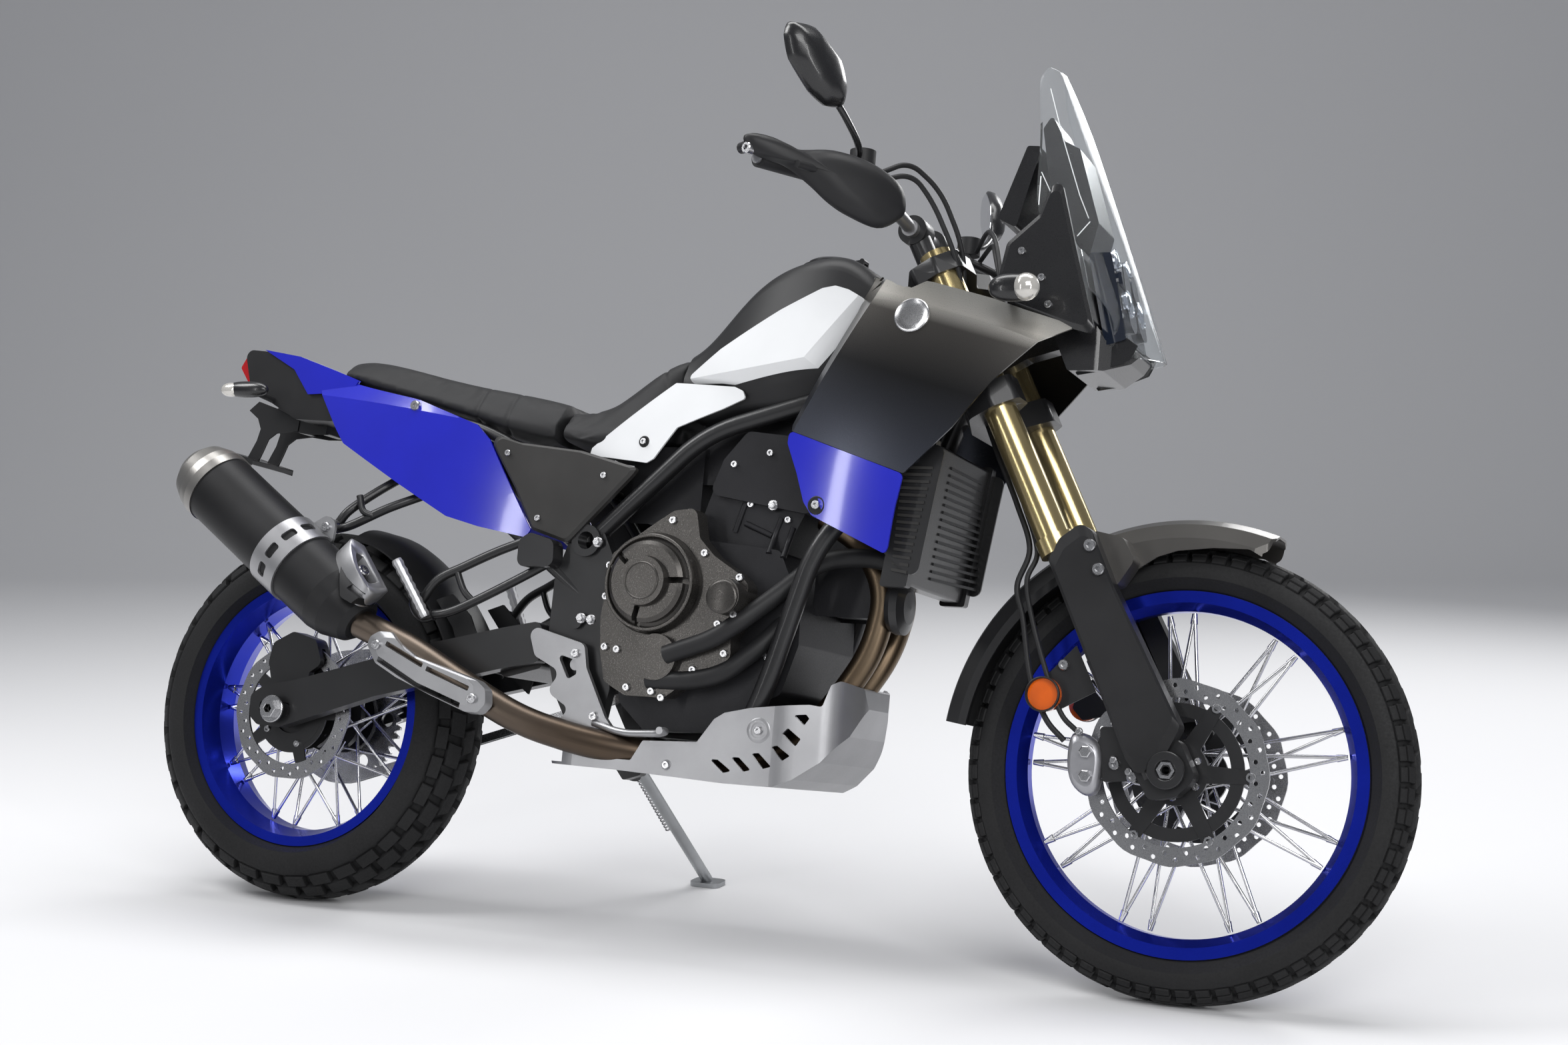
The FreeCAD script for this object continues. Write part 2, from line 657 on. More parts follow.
front_skirt = d.front_tyre_radius - d.front_tyre_half_width * 0.4
side_skirt = d.front_tyre_radius - d.front_tyre_half_width * 0.9
rear_skirt = d.front_tyre_radius - d.front_tyre_half_width * 0.1
fender = joined(fender_part(71, 84, front_skirt), fender_part(84, 126, side_skirt))
fender_side_shares = [
    (0.865, 0.731), (0.912, 0.693), (0.922, 0.709), (0.949, 0.743), (0.968, 0.767),
    (0.987, 0.779), (1.021, 0.786), (1.055, 0.786), (1.07, 0.771), (1.091, 0.789),
    (1.091, 0.88), (0.865, 0.88),
]
fender_plan_shares = [
    (0.853, -0.178, 0), (1.041, -0.16, 0), (1.073, -0.116, 0), (1.085, -0.04, 0),
    (1.085, 0.04, 0), (1.073, 0.116, 0), (1.041, 0.16, 0), (0.853, 0.178, 0),
]
fender = fender.common(slab(fender_side_shares, -d.half_width, d.half_width, d.corner_round))
fender = biggest(fender.common(plate(spots(fender_plan_shares), UP * d.seat_height, d.corner_round)))
fender_tail = fender_part(126, 172, rear_skirt)
fender_stay_shares = [
    (0.9, 0.784), (0.912, 0.803), (0.94, 0.793), (0.953, 0.754), (0.936, 0.704),
    (0.913, 0.718),
]
fender_stay = slab(fender_stay_shares, -d.fork_place, -fender_half_width * 0.9, d.corner_round)
stays = [less(fender_stay, guard_hollow, leg_top)]
stays.append(other_side(stays[0]))
front_fender = joined(fender, *stays)
front_fender = less(front_fender, *shape_of("fork_guards", "fork_legs", "fork_tubes"))
keep("front_fender", front_fender)
keep("fender_tail", less(fender_tail, front_fender))

# Front calipers: a body bridging the disc, with two piston covers
caliper_shares = [
    (0.893, 0.377), (0.909, 0.343), (0.935, 0.338), (0.95, 0.368), (0.952, 0.439),
    (0.935, 0.471), (0.908, 0.471), (0.893, 0.439),
]
caliper_inner = d.front_disc_place - d.overrun * 4
caliper_outer = d.front_disc_place + d.overrun * 9
caliper = pod(caliper_shares, [(-caliper_inner, 0.94), (-caliper_outer + d.overrun * 2, 1),
                               (-caliper_outer, 0.86)], d.corner_round)
disc_room = disc(front_axle, d.front_disc_radius + d.disc_gap,
                 -d.front_disc_place - d.disc_thick / 2 - d.disc_gap,
                 -d.front_disc_place + d.disc_thick / 2 + d.disc_gap)
piston_shares = [
    (0.919, 0.379), (0.924, 0.434),
]
pistons = [disc(point, d.fork_inner_radius, -caliper_outer - d.overrun, -caliper_outer + d.overrun)
           for point in flat(piston_shares, 0)]
caliper = joined(caliper, *pistons)
keep("front_calipers", pair(less(caliper, disc_room, right_leg)))

# Grips, switches, levers and the front master cylinder
grip_end = right_bar[0]
grip_way = (right_bar[1] - right_bar[0]).normalize()
grip = bar(grip_end + grip_way * d.overrun, grip_end + grip_way * d.grip_length, d.grip_radius)
flange = bar(grip_end + grip_way * (d.grip_length - d.overrun), grip_end + grip_way * d.grip_length,
             d.grip_radius * 1.4)
switch = bar(grip_end + grip_way * (d.grip_length + d.overrun),
             grip_end + grip_way * (d.grip_length + d.grip_radius * 2.6), d.grip_radius * 1.45)
holder = grip_end + grip_way * (d.grip_length + d.grip_radius * 4.2)
lever_block = bar(holder, holder + grip_way * d.grip_radius * 1.6, d.grip_radius * 1.3)
lever_shares = [
    (0.675, -0.582, 1.381), (0.69, -0.633, 1.376), (0.688, -0.733, 1.374),
    (0.675, -0.856, 1.369), (0.66, -0.96, 1.368),
]
lever = rod(spots(lever_shares), d.bar_radius * 0.55)
pivot_block = bar(spots(lever_shares)[0] - FORWARD * d.grip_radius, spots(lever_shares)[1],
                  d.grip_radius * 0.8)
controls = [less(joined(grip, flange), handlebar), less(joined(lever_block, pivot_block, lever), handlebar),
            less(switch, handlebar)]
bottle_base = holder + UP * (d.grip_radius * 1.1) + FORWARD * d.grip_radius
bottle = bar(bottle_base, bottle_base + UP * d.grip_radius * 1.9, d.grip_radius * 1.25)
controls[1] = joined(controls[1], bottle)
controls = [less(controls[0]), less(controls[1], controls[0]), less(controls[2], controls[0], controls[1])]
keep("bar_controls", Part.makeCompound(controls + [solid_of(other_side(piece)) for piece in controls]))


def ribbon(stations, wall):
    """A curved shell: (point, low, high) stations along a level path, wall thick."""
    loops = []
    for index, (point, low, high) in enumerate(stations):
        behind = stations[max(index - 1, 0)][0]
        ahead = stations[min(index + 1, len(stations) - 1)][0]
        way = Vector(ahead.x - behind.x, ahead.y - behind.y, 0).normalize()
        side = Vector(way.y, -way.x, 0) * (wall / 2)
        corners = [Vector(point.x, point.y, low) - side, Vector(point.x, point.y, low) + side,
                   Vector(point.x, point.y, high) + side, Vector(point.x, point.y, high) - side]
        loops.append(Part.makePolygon(corners + corners[:1]))
    return solid_of(Part.makeLoft(loops, True, True))


# Hand guards, from the bar end round in front of the grip
hand_guard_shares = [
    (0.607, -1.004, 0), (0.633, -1.011, 0), (0.665, -0.991, 0), (0.696, -0.922, 0),
    (0.721, -0.822, 0), (0.739, -0.7, 0), (0.745, -0.582, 0),
]
hand_guard_low_shares = [1.378, 1.366, 1.335, 1.296, 1.289, 1.3, 1.318]
hand_guard_high_shares = [1.404, 1.41, 1.412, 1.42, 1.422, 1.42, 1.4]
guard_stations = []
for point, low, high in zip(spots(hand_guard_shares), hand_guard_low_shares, hand_guard_high_shares):
    guard_stations.append((point, low * d.seat_height, high * d.seat_height))
hand_guard = ribbon(guard_stations, d.guard_wall)
guard_bolt = bar(grip_end, grip_end - grip_way * d.grip_radius * 1.7, d.bar_radius)
guard_arm_shares = [
    (0.744, -0.596, 1.36), (0.721, -0.582, 1.367), (0.678, -0.493, 1.401),
]
guard_arm = rod(spots(guard_arm_shares), d.bar_radius * 0.7)
hand_guard = less(joined(hand_guard, guard_bolt, guard_arm), handlebar, *controls)
keep("hand_guards", pair(hand_guard))

# Mirrors on their stems
mirror_shares = [
    (0.676, -0.782, 1.481), (0.687, -0.796, 1.566), (0.676, -0.871, 1.614),
    (0.646, -1.062, 1.6), (0.637, -1.098, 1.55), (0.651, -1.044, 1.486),
]
mirror_face = spots(mirror_shares)
mirror_middle = sum(mirror_face, Vector()) * (1 / len(mirror_face))
mirror_way = (mirror_face[3] - mirror_face[0]).cross(mirror_face[1] - mirror_face[5]).normalize()
if mirror_way.x < 0:
    mirror_way = -mirror_way
level_face = [point - mirror_way * mirror_way.dot(point - mirror_middle) for point in mirror_face]
mirror_loops = []
for reach, share in ((0, 1), (0.35, 1), (0.8, 0.8), (1, 0.5)):
    loop_points = [point + mirror_way * (reach * d.mirror_depth) for point in shrunk(level_face, share)]
    mirror_loops.append(round_loop(loop_points, d.corner_round * share))
mirror_shell = solid_of(Part.makeLoft(mirror_loops, True, True))
stem_shares = [
    (0.668, -0.547, 1.415), (0.686, -0.667, 1.442), (0.688, -0.747, 1.481),
    (0.678, -0.844, 1.52),
]
mirror_stem = rod(spots(stem_shares) + [mirror_middle + mirror_way * (d.mirror_depth * 0.6)],
                  d.mirror_stem_radius)
mirror_foot = bar(spots(stem_shares)[0] - UP * d.grip_radius,
                  spots(stem_shares)[0] + UP * d.grip_radius * 0.6,
                  d.bar_radius * 1.4)
mirror = less(joined(mirror_shell, mirror_stem, mirror_foot), handlebar, hand_guard, *controls)
keep("mirrors", pair(biggest(mirror)))

# Hoses and cables from the bar controls down to the lower clamp
cable_routes = [
    [
    (0.695, -0.533, 1.415), (0.715, -0.444, 1.449), (0.737, -0.316, 1.413),
    (0.757, -0.222, 1.314), (0.756, -0.173, 1.211), (0.77, -0.147, 1.131),
],
    [
    (0.697, -0.556, 1.397), (0.721, -0.462, 1.424), (0.734, -0.356, 1.385),
    (0.755, -0.271, 1.291), (0.762, -0.213, 1.2), (0.779, -0.187, 1.12),
],
]
cables = [rod(spots(route), d.cable_radius) for route in cable_routes]
cables = [less(cable, clamps, handlebar, hand_guard, mirror, *(controls + shape_of("fork_tubes")))
          for cable in cables]
cables[1] = less(cables[1], cables[0])
left_cables = [less(other_side(cable), clamps) for cable in cables]
keep("control_cables", Part.makeCompound(cables + left_cables))


# Frame: head tube, backbone, cradle, pivot plates and the rails under the seat
head_low = on_fork(0, 0, d.head_tube_bottom)
head_high = on_fork(0, 0, d.head_tube_top)
head_tube = bar(head_low, head_high, d.head_tube_radius)
head_root = on_fork(-d.head_tube_radius * 0.6, -d.head_tube_radius * 0.5,
                    d.head_tube_top - d.head_tube_radius)
backbone_shares = [
    (0.697, -0.107, 1.099), (0.627, -0.213, 1.042), (0.492, -0.249, 0.962),
    (0.433, -0.249, 0.859), (0.374, -0.236, 0.763),
]
backbone = rod([head_root] + spots(backbone_shares), d.frame_tube)
cradle_root = on_fork(-d.head_tube_radius * 0.6, -d.head_tube_radius * 0.4,
                      d.head_tube_bottom + d.head_tube_radius)
cradle_shares = [
    (0.715, -0.164, 0.971), (0.687, -0.249, 0.869), (0.634, -0.307, 0.759),
    (0.592, -0.307, 0.491), (0.564, -0.271, 0.386), (0.514, -0.244, 0.357),
    (0.401, -0.231, 0.363), (0.374, -0.236, 0.457),
]
cradle = rod([cradle_root] + spots(cradle_shares), d.cradle_tube)
pivot_plate_shares = [
    (0.349, 0.773), (0.385, 0.768), (0.405, 0.697), (0.399, 0.583), (0.409, 0.469),
    (0.401, 0.384), (0.369, 0.377), (0.344, 0.453), (0.33, 0.537), (0.331, 0.674),
]
pivot_plate = slab(pivot_plate_shares, -d.pivot_plate_outer, -d.pivot_plate_inner, d.corner_round)
swing_pivot = spot(0.3635, 0, 0.592)
plate_eye = spot(0.3665, 0, 0.749)
eye_ring = disc(plate_eye, d.pivot_radius * 0.9, -d.pivot_plate_outer - d.overrun * 2, -d.pivot_plate_inner)
eye_bore = disc(plate_eye, d.pivot_radius * 0.5, -d.pivot_plate_outer - d.overrun * 4, 0)
rail_shares = [
    (0.369, -0.236, 0.749), (0.313, -0.249, 0.88), (0.238, -0.249, 0.958),
    (0.113, -0.213, 1.01), (0.006, -0.173, 1.047),
]
rail = rod(spots(rail_shares), d.subframe_tube)
strut_shares = [
    (0.367, -0.236, 0.64), (0.282, -0.262, 0.754), (0.188, -0.249, 0.878),
    (0.123, -0.218, 0.997),
]
strut = rod(spots(strut_shares), d.subframe_tube)
cross_shares = [
    (0.213, -0.249, 0.962), (0.213, 0, 0.962), (0.213, 0.249, 0.962), (0.627, -0.213, 1.042),
    (0.627, 0, 1.042), (0.627, 0.213, 1.042), (0.025, -0.178, 1.041), (0.025, 0, 1.041),
    (0.025, 0.178, 1.041),
]
cross_spots = spots(cross_shares)
crosses = [bar(cross_spots[0], cross_spots[2], d.subframe_tube * 0.8),
           bar(cross_spots[3], cross_spots[5], d.frame_tube * 0.9),
           bar(cross_spots[6], cross_spots[8], d.subframe_tube * 0.8)]
lower_cross_shares = [
    (0.389, -0.231, 0.368), (0.389, 0.231, 0.368), (0.558, -0.262, 0.379),
    (0.558, 0.262, 0.379),
]
lower_cross = spots(lower_cross_shares)
crosses.append(bar(lower_cross[0], lower_cross[1], d.cradle_tube))
crosses.append(bar(lower_cross[2], lower_cross[3], d.cradle_tube * 0.8))
side_frame = joined(backbone, cradle, pivot_plate, eye_ring, rail, strut)
side_frame = less(side_frame, eye_bore)
stem_bore = bar(on_fork(0, 0, 0), on_fork(0, 0, d.fork_tube_top), d.stem_radius + d.running_gap)
pivot_pin = disc(swing_pivot, d.pivot_pin_radius, -d.pivot_plate_outer - d.overrun * 2,
                 d.pivot_plate_outer + d.overrun * 2)
frame = joined(head_tube, side_frame, other_side(side_frame), pivot_pin, *crosses)
frame = less(frame, stem_bore)
stand_bracket_shares = [
    (0.355, 0.386), (0.379, 0.394), (0.401, 0.368), (0.384, 0.311), (0.364, 0.299),
    (0.349, 0.331),
]
stand_bracket = slab(stand_bracket_shares, d.pivot_plate_inner, d.pivot_plate_outer, d.tight_round)
lower_room = turning_room(lower_clamp_shares, d.lower_clamp_bottom, d.lower_clamp_top)
frame = less(joined(frame, stand_bracket), *lower_room)
keep("main_frame", frame)

# Swingarm: two arms tied by a cross piece, with lugs round the pivot
arm_shares = [
    (-0.036, 0.363), (-0.038, 0.407), (-0.021, 0.427), (0.021, 0.443), (0.198, 0.537),
    (0.276, 0.571), (0.326, 0.59), (0.327, 0.51), (0.293, 0.498), (0.125, 0.421),
    (0.004, 0.345), (-0.025, 0.347),
]
arm = slab(arm_shares, -d.swingarm_outer, -d.swingarm_inner, d.corner_round)
lug_shares = [
    (0.281, 0.507), (0.351, 0.542), (0.376, 0.555), (0.382, 0.594), (0.37, 0.626),
    (0.349, 0.624), (0.281, 0.571),
]
lug = slab(lug_shares, -d.pivot_plate_inner * 0.74, -d.pivot_plate_inner * 0.4, d.corner_round)
tie_shares = [
    (0.27, 0.473), (0.322, 0.501), (0.324, 0.549), (0.271, 0.528),
]
tie = slab(tie_shares, -d.swingarm_inner - d.overrun, d.swingarm_inner + d.overrun, d.corner_round)
adjuster_slot = slab([
    (-0.024, 0.373), (-0.024, 0.395), (0.016, 0.395), (0.016, 0.373),
], -d.swingarm_outer - d.overrun,
                     -d.swingarm_inner + d.overrun, d.tight_round)
arms = joined(arm, other_side(arm), lug, other_side(lug), tie)
arms = less(arms, adjuster_slot, other_side(adjuster_slot),
            disc(swing_pivot, d.pivot_pin_radius, -d.pivot_plate_outer, d.pivot_plate_outer))
arms = less(arms, frame)
rear_spindle = disc(rear_axle, d.axle_radius, -d.swingarm_outer, d.swingarm_outer)
block_shares = [
    (-0.016, 0.368), (-0.016, 0.393), (0.016, 0.393), (0.016, 0.368),
]
block = slab(block_shares, -d.swingarm_outer - d.overrun, -d.swingarm_inner, d.tight_round)
rear_spacer_inner = d.rear_disc_place - d.disc_thick / 2 + d.running_gap
rear_spacer = disc(rear_axle, d.axle_radius * 1.8, rear_spacer_inner, d.swingarm_inner)
rear_nut = disc(rear_axle, d.axle_radius * 1.7, d.swingarm_outer + d.overrun,
                d.swingarm_outer + d.overrun * 4)
arms = joined(arms, rear_spindle, block, other_side(block), rear_spacer, other_side(rear_spacer), rear_nut,
                       other_side(rear_nut), disc(rear_axle, d.axle_radius, -d.swingarm_outer - d.overrun * 2,
                                                  d.swingarm_outer + d.overrun * 2))
keep("swingarm", less(arms, disc(rear_axle, d.axle_bore, -d.half_width, d.half_width)))

# Engine: crankcase, twin cylinders with their head, and the side covers
case_shares = [
    (0.415, 0.537), (0.421, 0.446), (0.453, 0.395), (0.564, 0.402), (0.578, 0.457),
    (0.603, 0.48), (0.618, 0.571), (0.617, 0.64), (0.589, 0.745), (0.476, 0.763),
    (0.416, 0.731),
]
crankcase = slab(case_shares, -d.engine_half_width, d.engine_half_width, d.corner_round)
barrel_shares = [
    (0.483, 0.743), (0.586, 0.731), (0.613, 0.834), (0.505, 0.869),
]
barrel = slab(barrel_shares, -d.head_half_width * 0.9, d.head_half_width * 0.9, d.tight_round)
head_shares = [
    (0.502, 0.848), (0.617, 0.814), (0.632, 0.914), (0.621, 0.955), (0.54, 0.969),
    (0.515, 0.914),
]
cylinder_head = slab(head_shares, -d.head_half_width, d.head_half_width, d.corner_round)
sump = slab([
    (0.439, 0.425), (0.439, 0.386), (0.539, 0.386), (0.552, 0.425),
], -d.head_half_width * 0.5, d.head_half_width * 0.7,
            d.tight_round)
crankcase = joined(crankcase, sump)
keep("crankcase", less(crankcase, frame))
cylinders = less(joined(barrel, cylinder_head), nodes["crankcase"].Shape, frame)
keep("cylinders", cylinders)
clutch_centre = spot(0.4608, 0, 0.6686)
small_centre = spot(0.5505, 0, 0.648)
pump_centre = spot(0.4735, 0, 0.531)
right_flange_shares = [
    (0.41, 0.722), (0.456, 0.782), (0.477, 0.807), (0.502, 0.814), (0.509, 0.757),
    (0.527, 0.725), (0.555, 0.695), (0.568, 0.674), (0.566, 0.617), (0.553, 0.571),
    (0.555, 0.537), (0.514, 0.498), (0.484, 0.457), (0.439, 0.457), (0.414, 0.48),
    (0.406, 0.537), (0.403, 0.602),
]
cover_mid = d.engine_half_width + (d.cover_reach - d.engine_half_width) * 0.45
right_flange = slab(right_flange_shares, -cover_mid, -d.engine_half_width, d.corner_round)
clutch_profile = [(0, 0), (1, 0), (1, 0.5), (0.95, 0.62), (0.8, 0.66), (0.8, 0.8), (0.72, 0.86), (0.5, 0.86),
                  (0.48, 1), (0, 1)]
cover_depth = d.cover_reach - d.engine_half_width
clutch = spun([(radius * d.clutch_radius, along * cover_depth) for radius, along in clutch_profile],
              clutch_centre - ALONG_Y * d.engine_half_width, -ALONG_Y, FORWARD)
notch_deep = -d.cover_reach + cover_depth * 0.42
notches = []
for turn in (4, 140, 258):
    way = Rotation(ALONG_Y, -turn).multVec(FORWARD)
    half = way.cross(ALONG_Y) * (d.clutch_radius * 0.06)
    near = clutch_centre + way * (d.clutch_radius * 0.5) + ALONG_Y * notch_deep
    far = clutch_centre + way * (d.clutch_radius * 1.1) + ALONG_Y * notch_deep
    notches.append(plate([near - half, far - half, far + half, near + half], ALONG_Y * (-cover_depth),
                         d.overrun * 0.2))
clutch = less(clutch, *notches)
small_cover = disc(small_centre, d.clutch_radius * 0.35, -d.cover_reach * 0.96, -d.engine_half_width)
pump = disc(pump_centre, d.clutch_radius * 0.45, -d.cover_reach * 0.84, -d.engine_half_width)
right_cover = joined(right_flange, clutch, small_cover, pump)
right_cover = less(right_cover, frame)
dynamo_centre = spot(0.515, 0, 0.6)
left_flange_shares = [
    (0.439, 0.537), (0.476, 0.491), (0.539, 0.503), (0.572, 0.594), (0.577, 0.663),
    (0.539, 0.727), (0.476, 0.731), (0.441, 0.64),
]
left_mid = d.engine_half_width + (d.left_cover_reach - d.engine_half_width) * 0.4
left_flange = slab(left_flange_shares, d.engine_half_width, left_mid, d.corner_round)
dynamo = spun([(0, 0), (d.clutch_radius * 0.92, 0),
               (d.clutch_radius * 0.88, 0.8 * (d.left_cover_reach - d.engine_half_width)),
               (d.clutch_radius * 0.7, d.left_cover_reach - d.engine_half_width),
               (0, d.left_cover_reach - d.engine_half_width)],
              dynamo_centre + ALONG_Y * d.engine_half_width, ALONG_Y, FORWARD)
left_cover = less(joined(left_flange, dynamo), frame)
keep("engine_covers", Part.makeCompound([solid_of(right_cover), solid_of(left_cover)]))

# Radiator with its side shields, and the coolant hoses
core_shares = [
    (0.731, 0.949), (0.752, 0.949), (0.731, 0.69), (0.711, 0.69),
]
radiator_half = d.fork_place * 1.3
core = slab(core_shares, -radiator_half, radiator_half, d.tight_round)
tank_shares = [
    (0.727, 0.955), (0.756, 0.955), (0.735, 0.683), (0.707, 0.683),
]
side_tank = slab(tank_shares, -radiator_half - d.overrun * 4, -radiator_half + d.overrun, d.tight_round)
shield_shares = [
    (0.722, 0.944), (0.766, 0.939), (0.76, 0.869), (0.746, 0.693), (0.708, 0.745),
]
shield = slab(shield_shares, -radiator_half - d.overrun * 5, -radiator_half - d.overrun * 4, d.corner_round)
radiator = joined(core, side_tank, other_side(side_tank), shield, other_side(shield))
keep("radiator", less(radiator, frame))
hose_routes = [[
    (0.715, -0.2, 0.731), (0.671, -0.196, 0.743), (0.627, -0.213, 0.731),
    (0.596, -0.267, 0.669), (0.56, -0.356, 0.601), (0.536, -0.373, 0.569),
    (0.486, -0.373, 0.536),
],
               [
    (0.721, -0.133, 0.914), (0.683, -0.133, 0.921), (0.658, -0.124, 0.928),
    (0.629, -0.111, 0.921),
],
               [
    (0.602, -0.222, 0.626), (0.583, -0.28, 0.571), (0.546, -0.333, 0.507),
    (0.511, -0.347, 0.491), (0.464, -0.333, 0.489),
]]
hoses = [rod(spots(route), d.header_radius * 0.72) for route in hose_routes]
hoses = [less(hose, frame, *shape_of("radiator", "engine_covers", "crankcase", "cylinders"))
         for hose in hoses]
hoses = [biggest(hose) for hose in hoses]
keep("coolant_hoses", Part.makeCompound(hoses))

# Exhaust: twin headers down in front, a mid pipe and the muffler with its strap and guards
header_shares = [
    (0.617, -0.102, 0.818), (0.665, -0.102, 0.768), (0.692, -0.111, 0.681),
    (0.682, -0.12, 0.571), (0.652, -0.133, 0.48), (0.617, -0.138, 0.402),
    (0.564, -0.138, 0.352),
]
header = rod(spots(header_shares), d.header_radius)
left_header_shares = [
    (0.617, 0.102, 0.818), (0.665, 0.102, 0.768), (0.693, 0.089, 0.681),
    (0.685, 0.022, 0.571), (0.656, -0.018, 0.48), (0.621, -0.044, 0.402),
    (0.564, -0.111, 0.352),
]
left_header = rod(spots(left_header_shares), d.header_radius)
header_set = [less(pipe, frame, *shape_of("radiator", "crankcase", "cylinders", "coolant_hoses"))
              for pipe in (header, left_header)]
header_set = [biggest(pipe) for pipe in header_set]
muffler_front = Vector(0.124 * d.wheelbase, -d.muffler_place, 0.559 * d.seat_height)
muffler_rear = Vector(-0.121 * d.wheelbase, -d.muffler_place, 0.865 * d.seat_height)
muffler_way = (muffler_rear - muffler_front).normalize()
muffler_length = (muffler_rear - muffler_front).Length
muffler_profile = [(0, 0), (0.5, 0), (0.66, 0.02), (0.92, 0.1), (1, 0.16), (1, 0.84), (0.4, 0.84),
                   (0.4, 0.8), (0, 0.8)]
cap_section = [(0.4, 0.84), (1.03, 0.84), (1.03, 0.875), (0.98, 0.91), (0.84, 0.96), (0.62, 0.99),
               (0.44, 1), (0.4, 1)]
muffler_across = ALONG_Y.cross(muffler_way)
muffler = spun([(radius * d.muffler_radius, along * muffler_length) for radius, along in muffler_profile],
               muffler_front, muffler_way, muffler_across)
keep("muffler", muffler)
end_cap = spun([(radius * d.muffler_radius, along * muffler_length) for radius, along in cap_section],
               muffler_front, muffler_way, muffler_across)
keep("muffler_cap", end_cap)
mid_shares = [
    (0.564, -0.133, 0.35), (0.514, -0.164, 0.345), (0.464, -0.262, 0.35),
    (0.401, -0.333, 0.363), (0.326, -0.373, 0.393), (0.263, -0.404, 0.448),
    (0.188, -0.418, 0.517),
]
mid_pipe = rod(spots(mid_shares) + [muffler_front], d.pipe_radius)
mid_pipe = joined(less(mid_pipe, muffler, frame), *header_set)
keep("exhaust_pipes", mid_pipe)
strap_at = muffler_front + muffler_way * (muffler_length * 0.335)
strap_end = strap_at + muffler_way * (d.muffler_radius * 0.9)
strap = bar(strap_at, strap_end, d.muffler_radius + d.panel_wall)
strap_lug_shares = [
    (0.019, 0.686), (0.03, 0.743), (0.059, 0.773), (0.072, 0.759), (0.07, 0.722),
    (0.053, 0.681),
]
strap_lug = slab(strap_lug_shares, -d.muffler_place + d.panel_wall * 3,
                 -d.muffler_place + d.panel_wall * 4.5, d.corner_round)
slot_way = (muffler_across + ALONG_Y * 0).normalize()
strap_slots = []
for turn in (-118, -84, -50, -16):
    out = Rotation(muffler_way, turn).multVec(slot_way)
    across = out.cross(muffler_way)
    middle = strap_at + (strap_end - strap_at) * 0.5 + out * (d.muffler_radius * 0.9)
    corners = [middle + muffler_way * (d.overrun * 2 * along) + across * (d.corner_round * side)
               for along, side in ((-1, -1), (1, -1), (1, 1), (-1, 1))]
    strap_slots.append(plate(corners, out * (d.muffler_radius * 0.3), d.tight_round))
strap = less(joined(strap, strap_lug), muffler, *strap_slots)
tri_guard_shares = [
    (0.102, 0.686), (0.121, 0.674), (0.158, 0.631), (0.166, 0.61), (0.161, 0.598),
    (0.144, 0.586), (0.123, 0.603), (0.116, 0.632),
]
tri_shell = bar(muffler_front, muffler_rear, d.muffler_radius + d.overrun * 1.6)
tri_guard = slab(tri_guard_shares, -d.half_width, -d.muffler_place, d.corner_round).common(tri_shell)
tri_holes = [slab([
    (0.129, 0.654), (0.15, 0.63), (0.148, 0.623), (0.127, 0.647),
], -d.half_width, -d.muffler_place, d.overrun * 0.5),
             slab([
    (0.128, 0.631), (0.148, 0.608), (0.144, 0.601), (0.125, 0.622),
], -d.half_width, -d.muffler_place, d.overrun * 0.5)]
tri_guard = less(tri_guard, muffler, *tri_holes)
guard_axis_shares = [
    (0.144, 0.519), (0.147, 0.536), (0.158, 0.547), (0.174, 0.546), (0.189, 0.523),
    (0.209, 0.501), (0.29, 0.461), (0.301, 0.446), (0.303, 0.417), (0.294, 0.399),
    (0.278, 0.399), (0.233, 0.426), (0.186, 0.457), (0.157, 0.483),
]
guard_low = d.muffler_place + d.pipe_radius * 0.5
heat_guard = pod(guard_axis_shares, [(-guard_low, 1), (-guard_low - d.pipe_radius * 0.6, 0.96),
                                     (-guard_low - d.pipe_radius * 0.75, 0.8)], d.corner_round)
guard_slot_shares = [[
    (0.173, 0.526), (0.221, 0.488), (0.219, 0.479), (0.171, 0.517),
], [
    (0.226, 0.483), (0.28, 0.45), (0.278, 0.441), (0.224, 0.474),
],
                     [
    (0.164, 0.496), (0.216, 0.45), (0.271, 0.418), (0.269, 0.408), (0.214, 0.44),
    (0.162, 0.486),
]]
guard_slots = [slab(shares, -d.half_width, -guard_low, d.overrun * 0.5) for shares in guard_slot_shares]
heat_guard = biggest(less(heat_guard, muffler, mid_pipe, *guard_slots))
keep("muffler_guards", Part.makeCompound([biggest(strap), biggest(tri_guard), heat_guard]))

# Chain: two rows of plates round both sprockets, joined by rollers along the straight runs
front_sprocket_centre = spot(0.43, 0, 0.553)
chain_in = d.sprocket_thick / 2 + d.chain_gap
chain_low = d.sprocket_place - chain_in - d.chain_plate
rise = front_sprocket_centre - rear_axle
span = rise.Length
tilt = math.atan2(rise.z, rise.x)
spread = math.acos((d.sprocket_pitch_radius - d.front_sprocket_radius) / span)


def chain_band(half_height):
    """The chain's loop as a face ring: tangent runs and the wraps round both sprockets."""
    faces = []
    for grow in (half_height, -half_height):
        points = []
        for centre, radius, turn_from, turn_to in (
                (rear_axle, d.sprocket_pitch_radius, tilt + spread, tilt - spread + 2 * math.pi),
                (front_sprocket_centre, d.front_sprocket_radius, tilt - spread, tilt + spread)):
            steps = 20
            for index in range(steps + 1):
                turn = turn_from + (turn_to - turn_from) * index / steps
                arm_length = radius + grow
                points.append(centre + Vector(arm_length * math.cos(turn), chain_low,
                                              arm_length * math.sin(turn)))
        faces.append(Part.Face(Part.makePolygon(points + points[:1])))
    return faces[0].cut(faces[1])


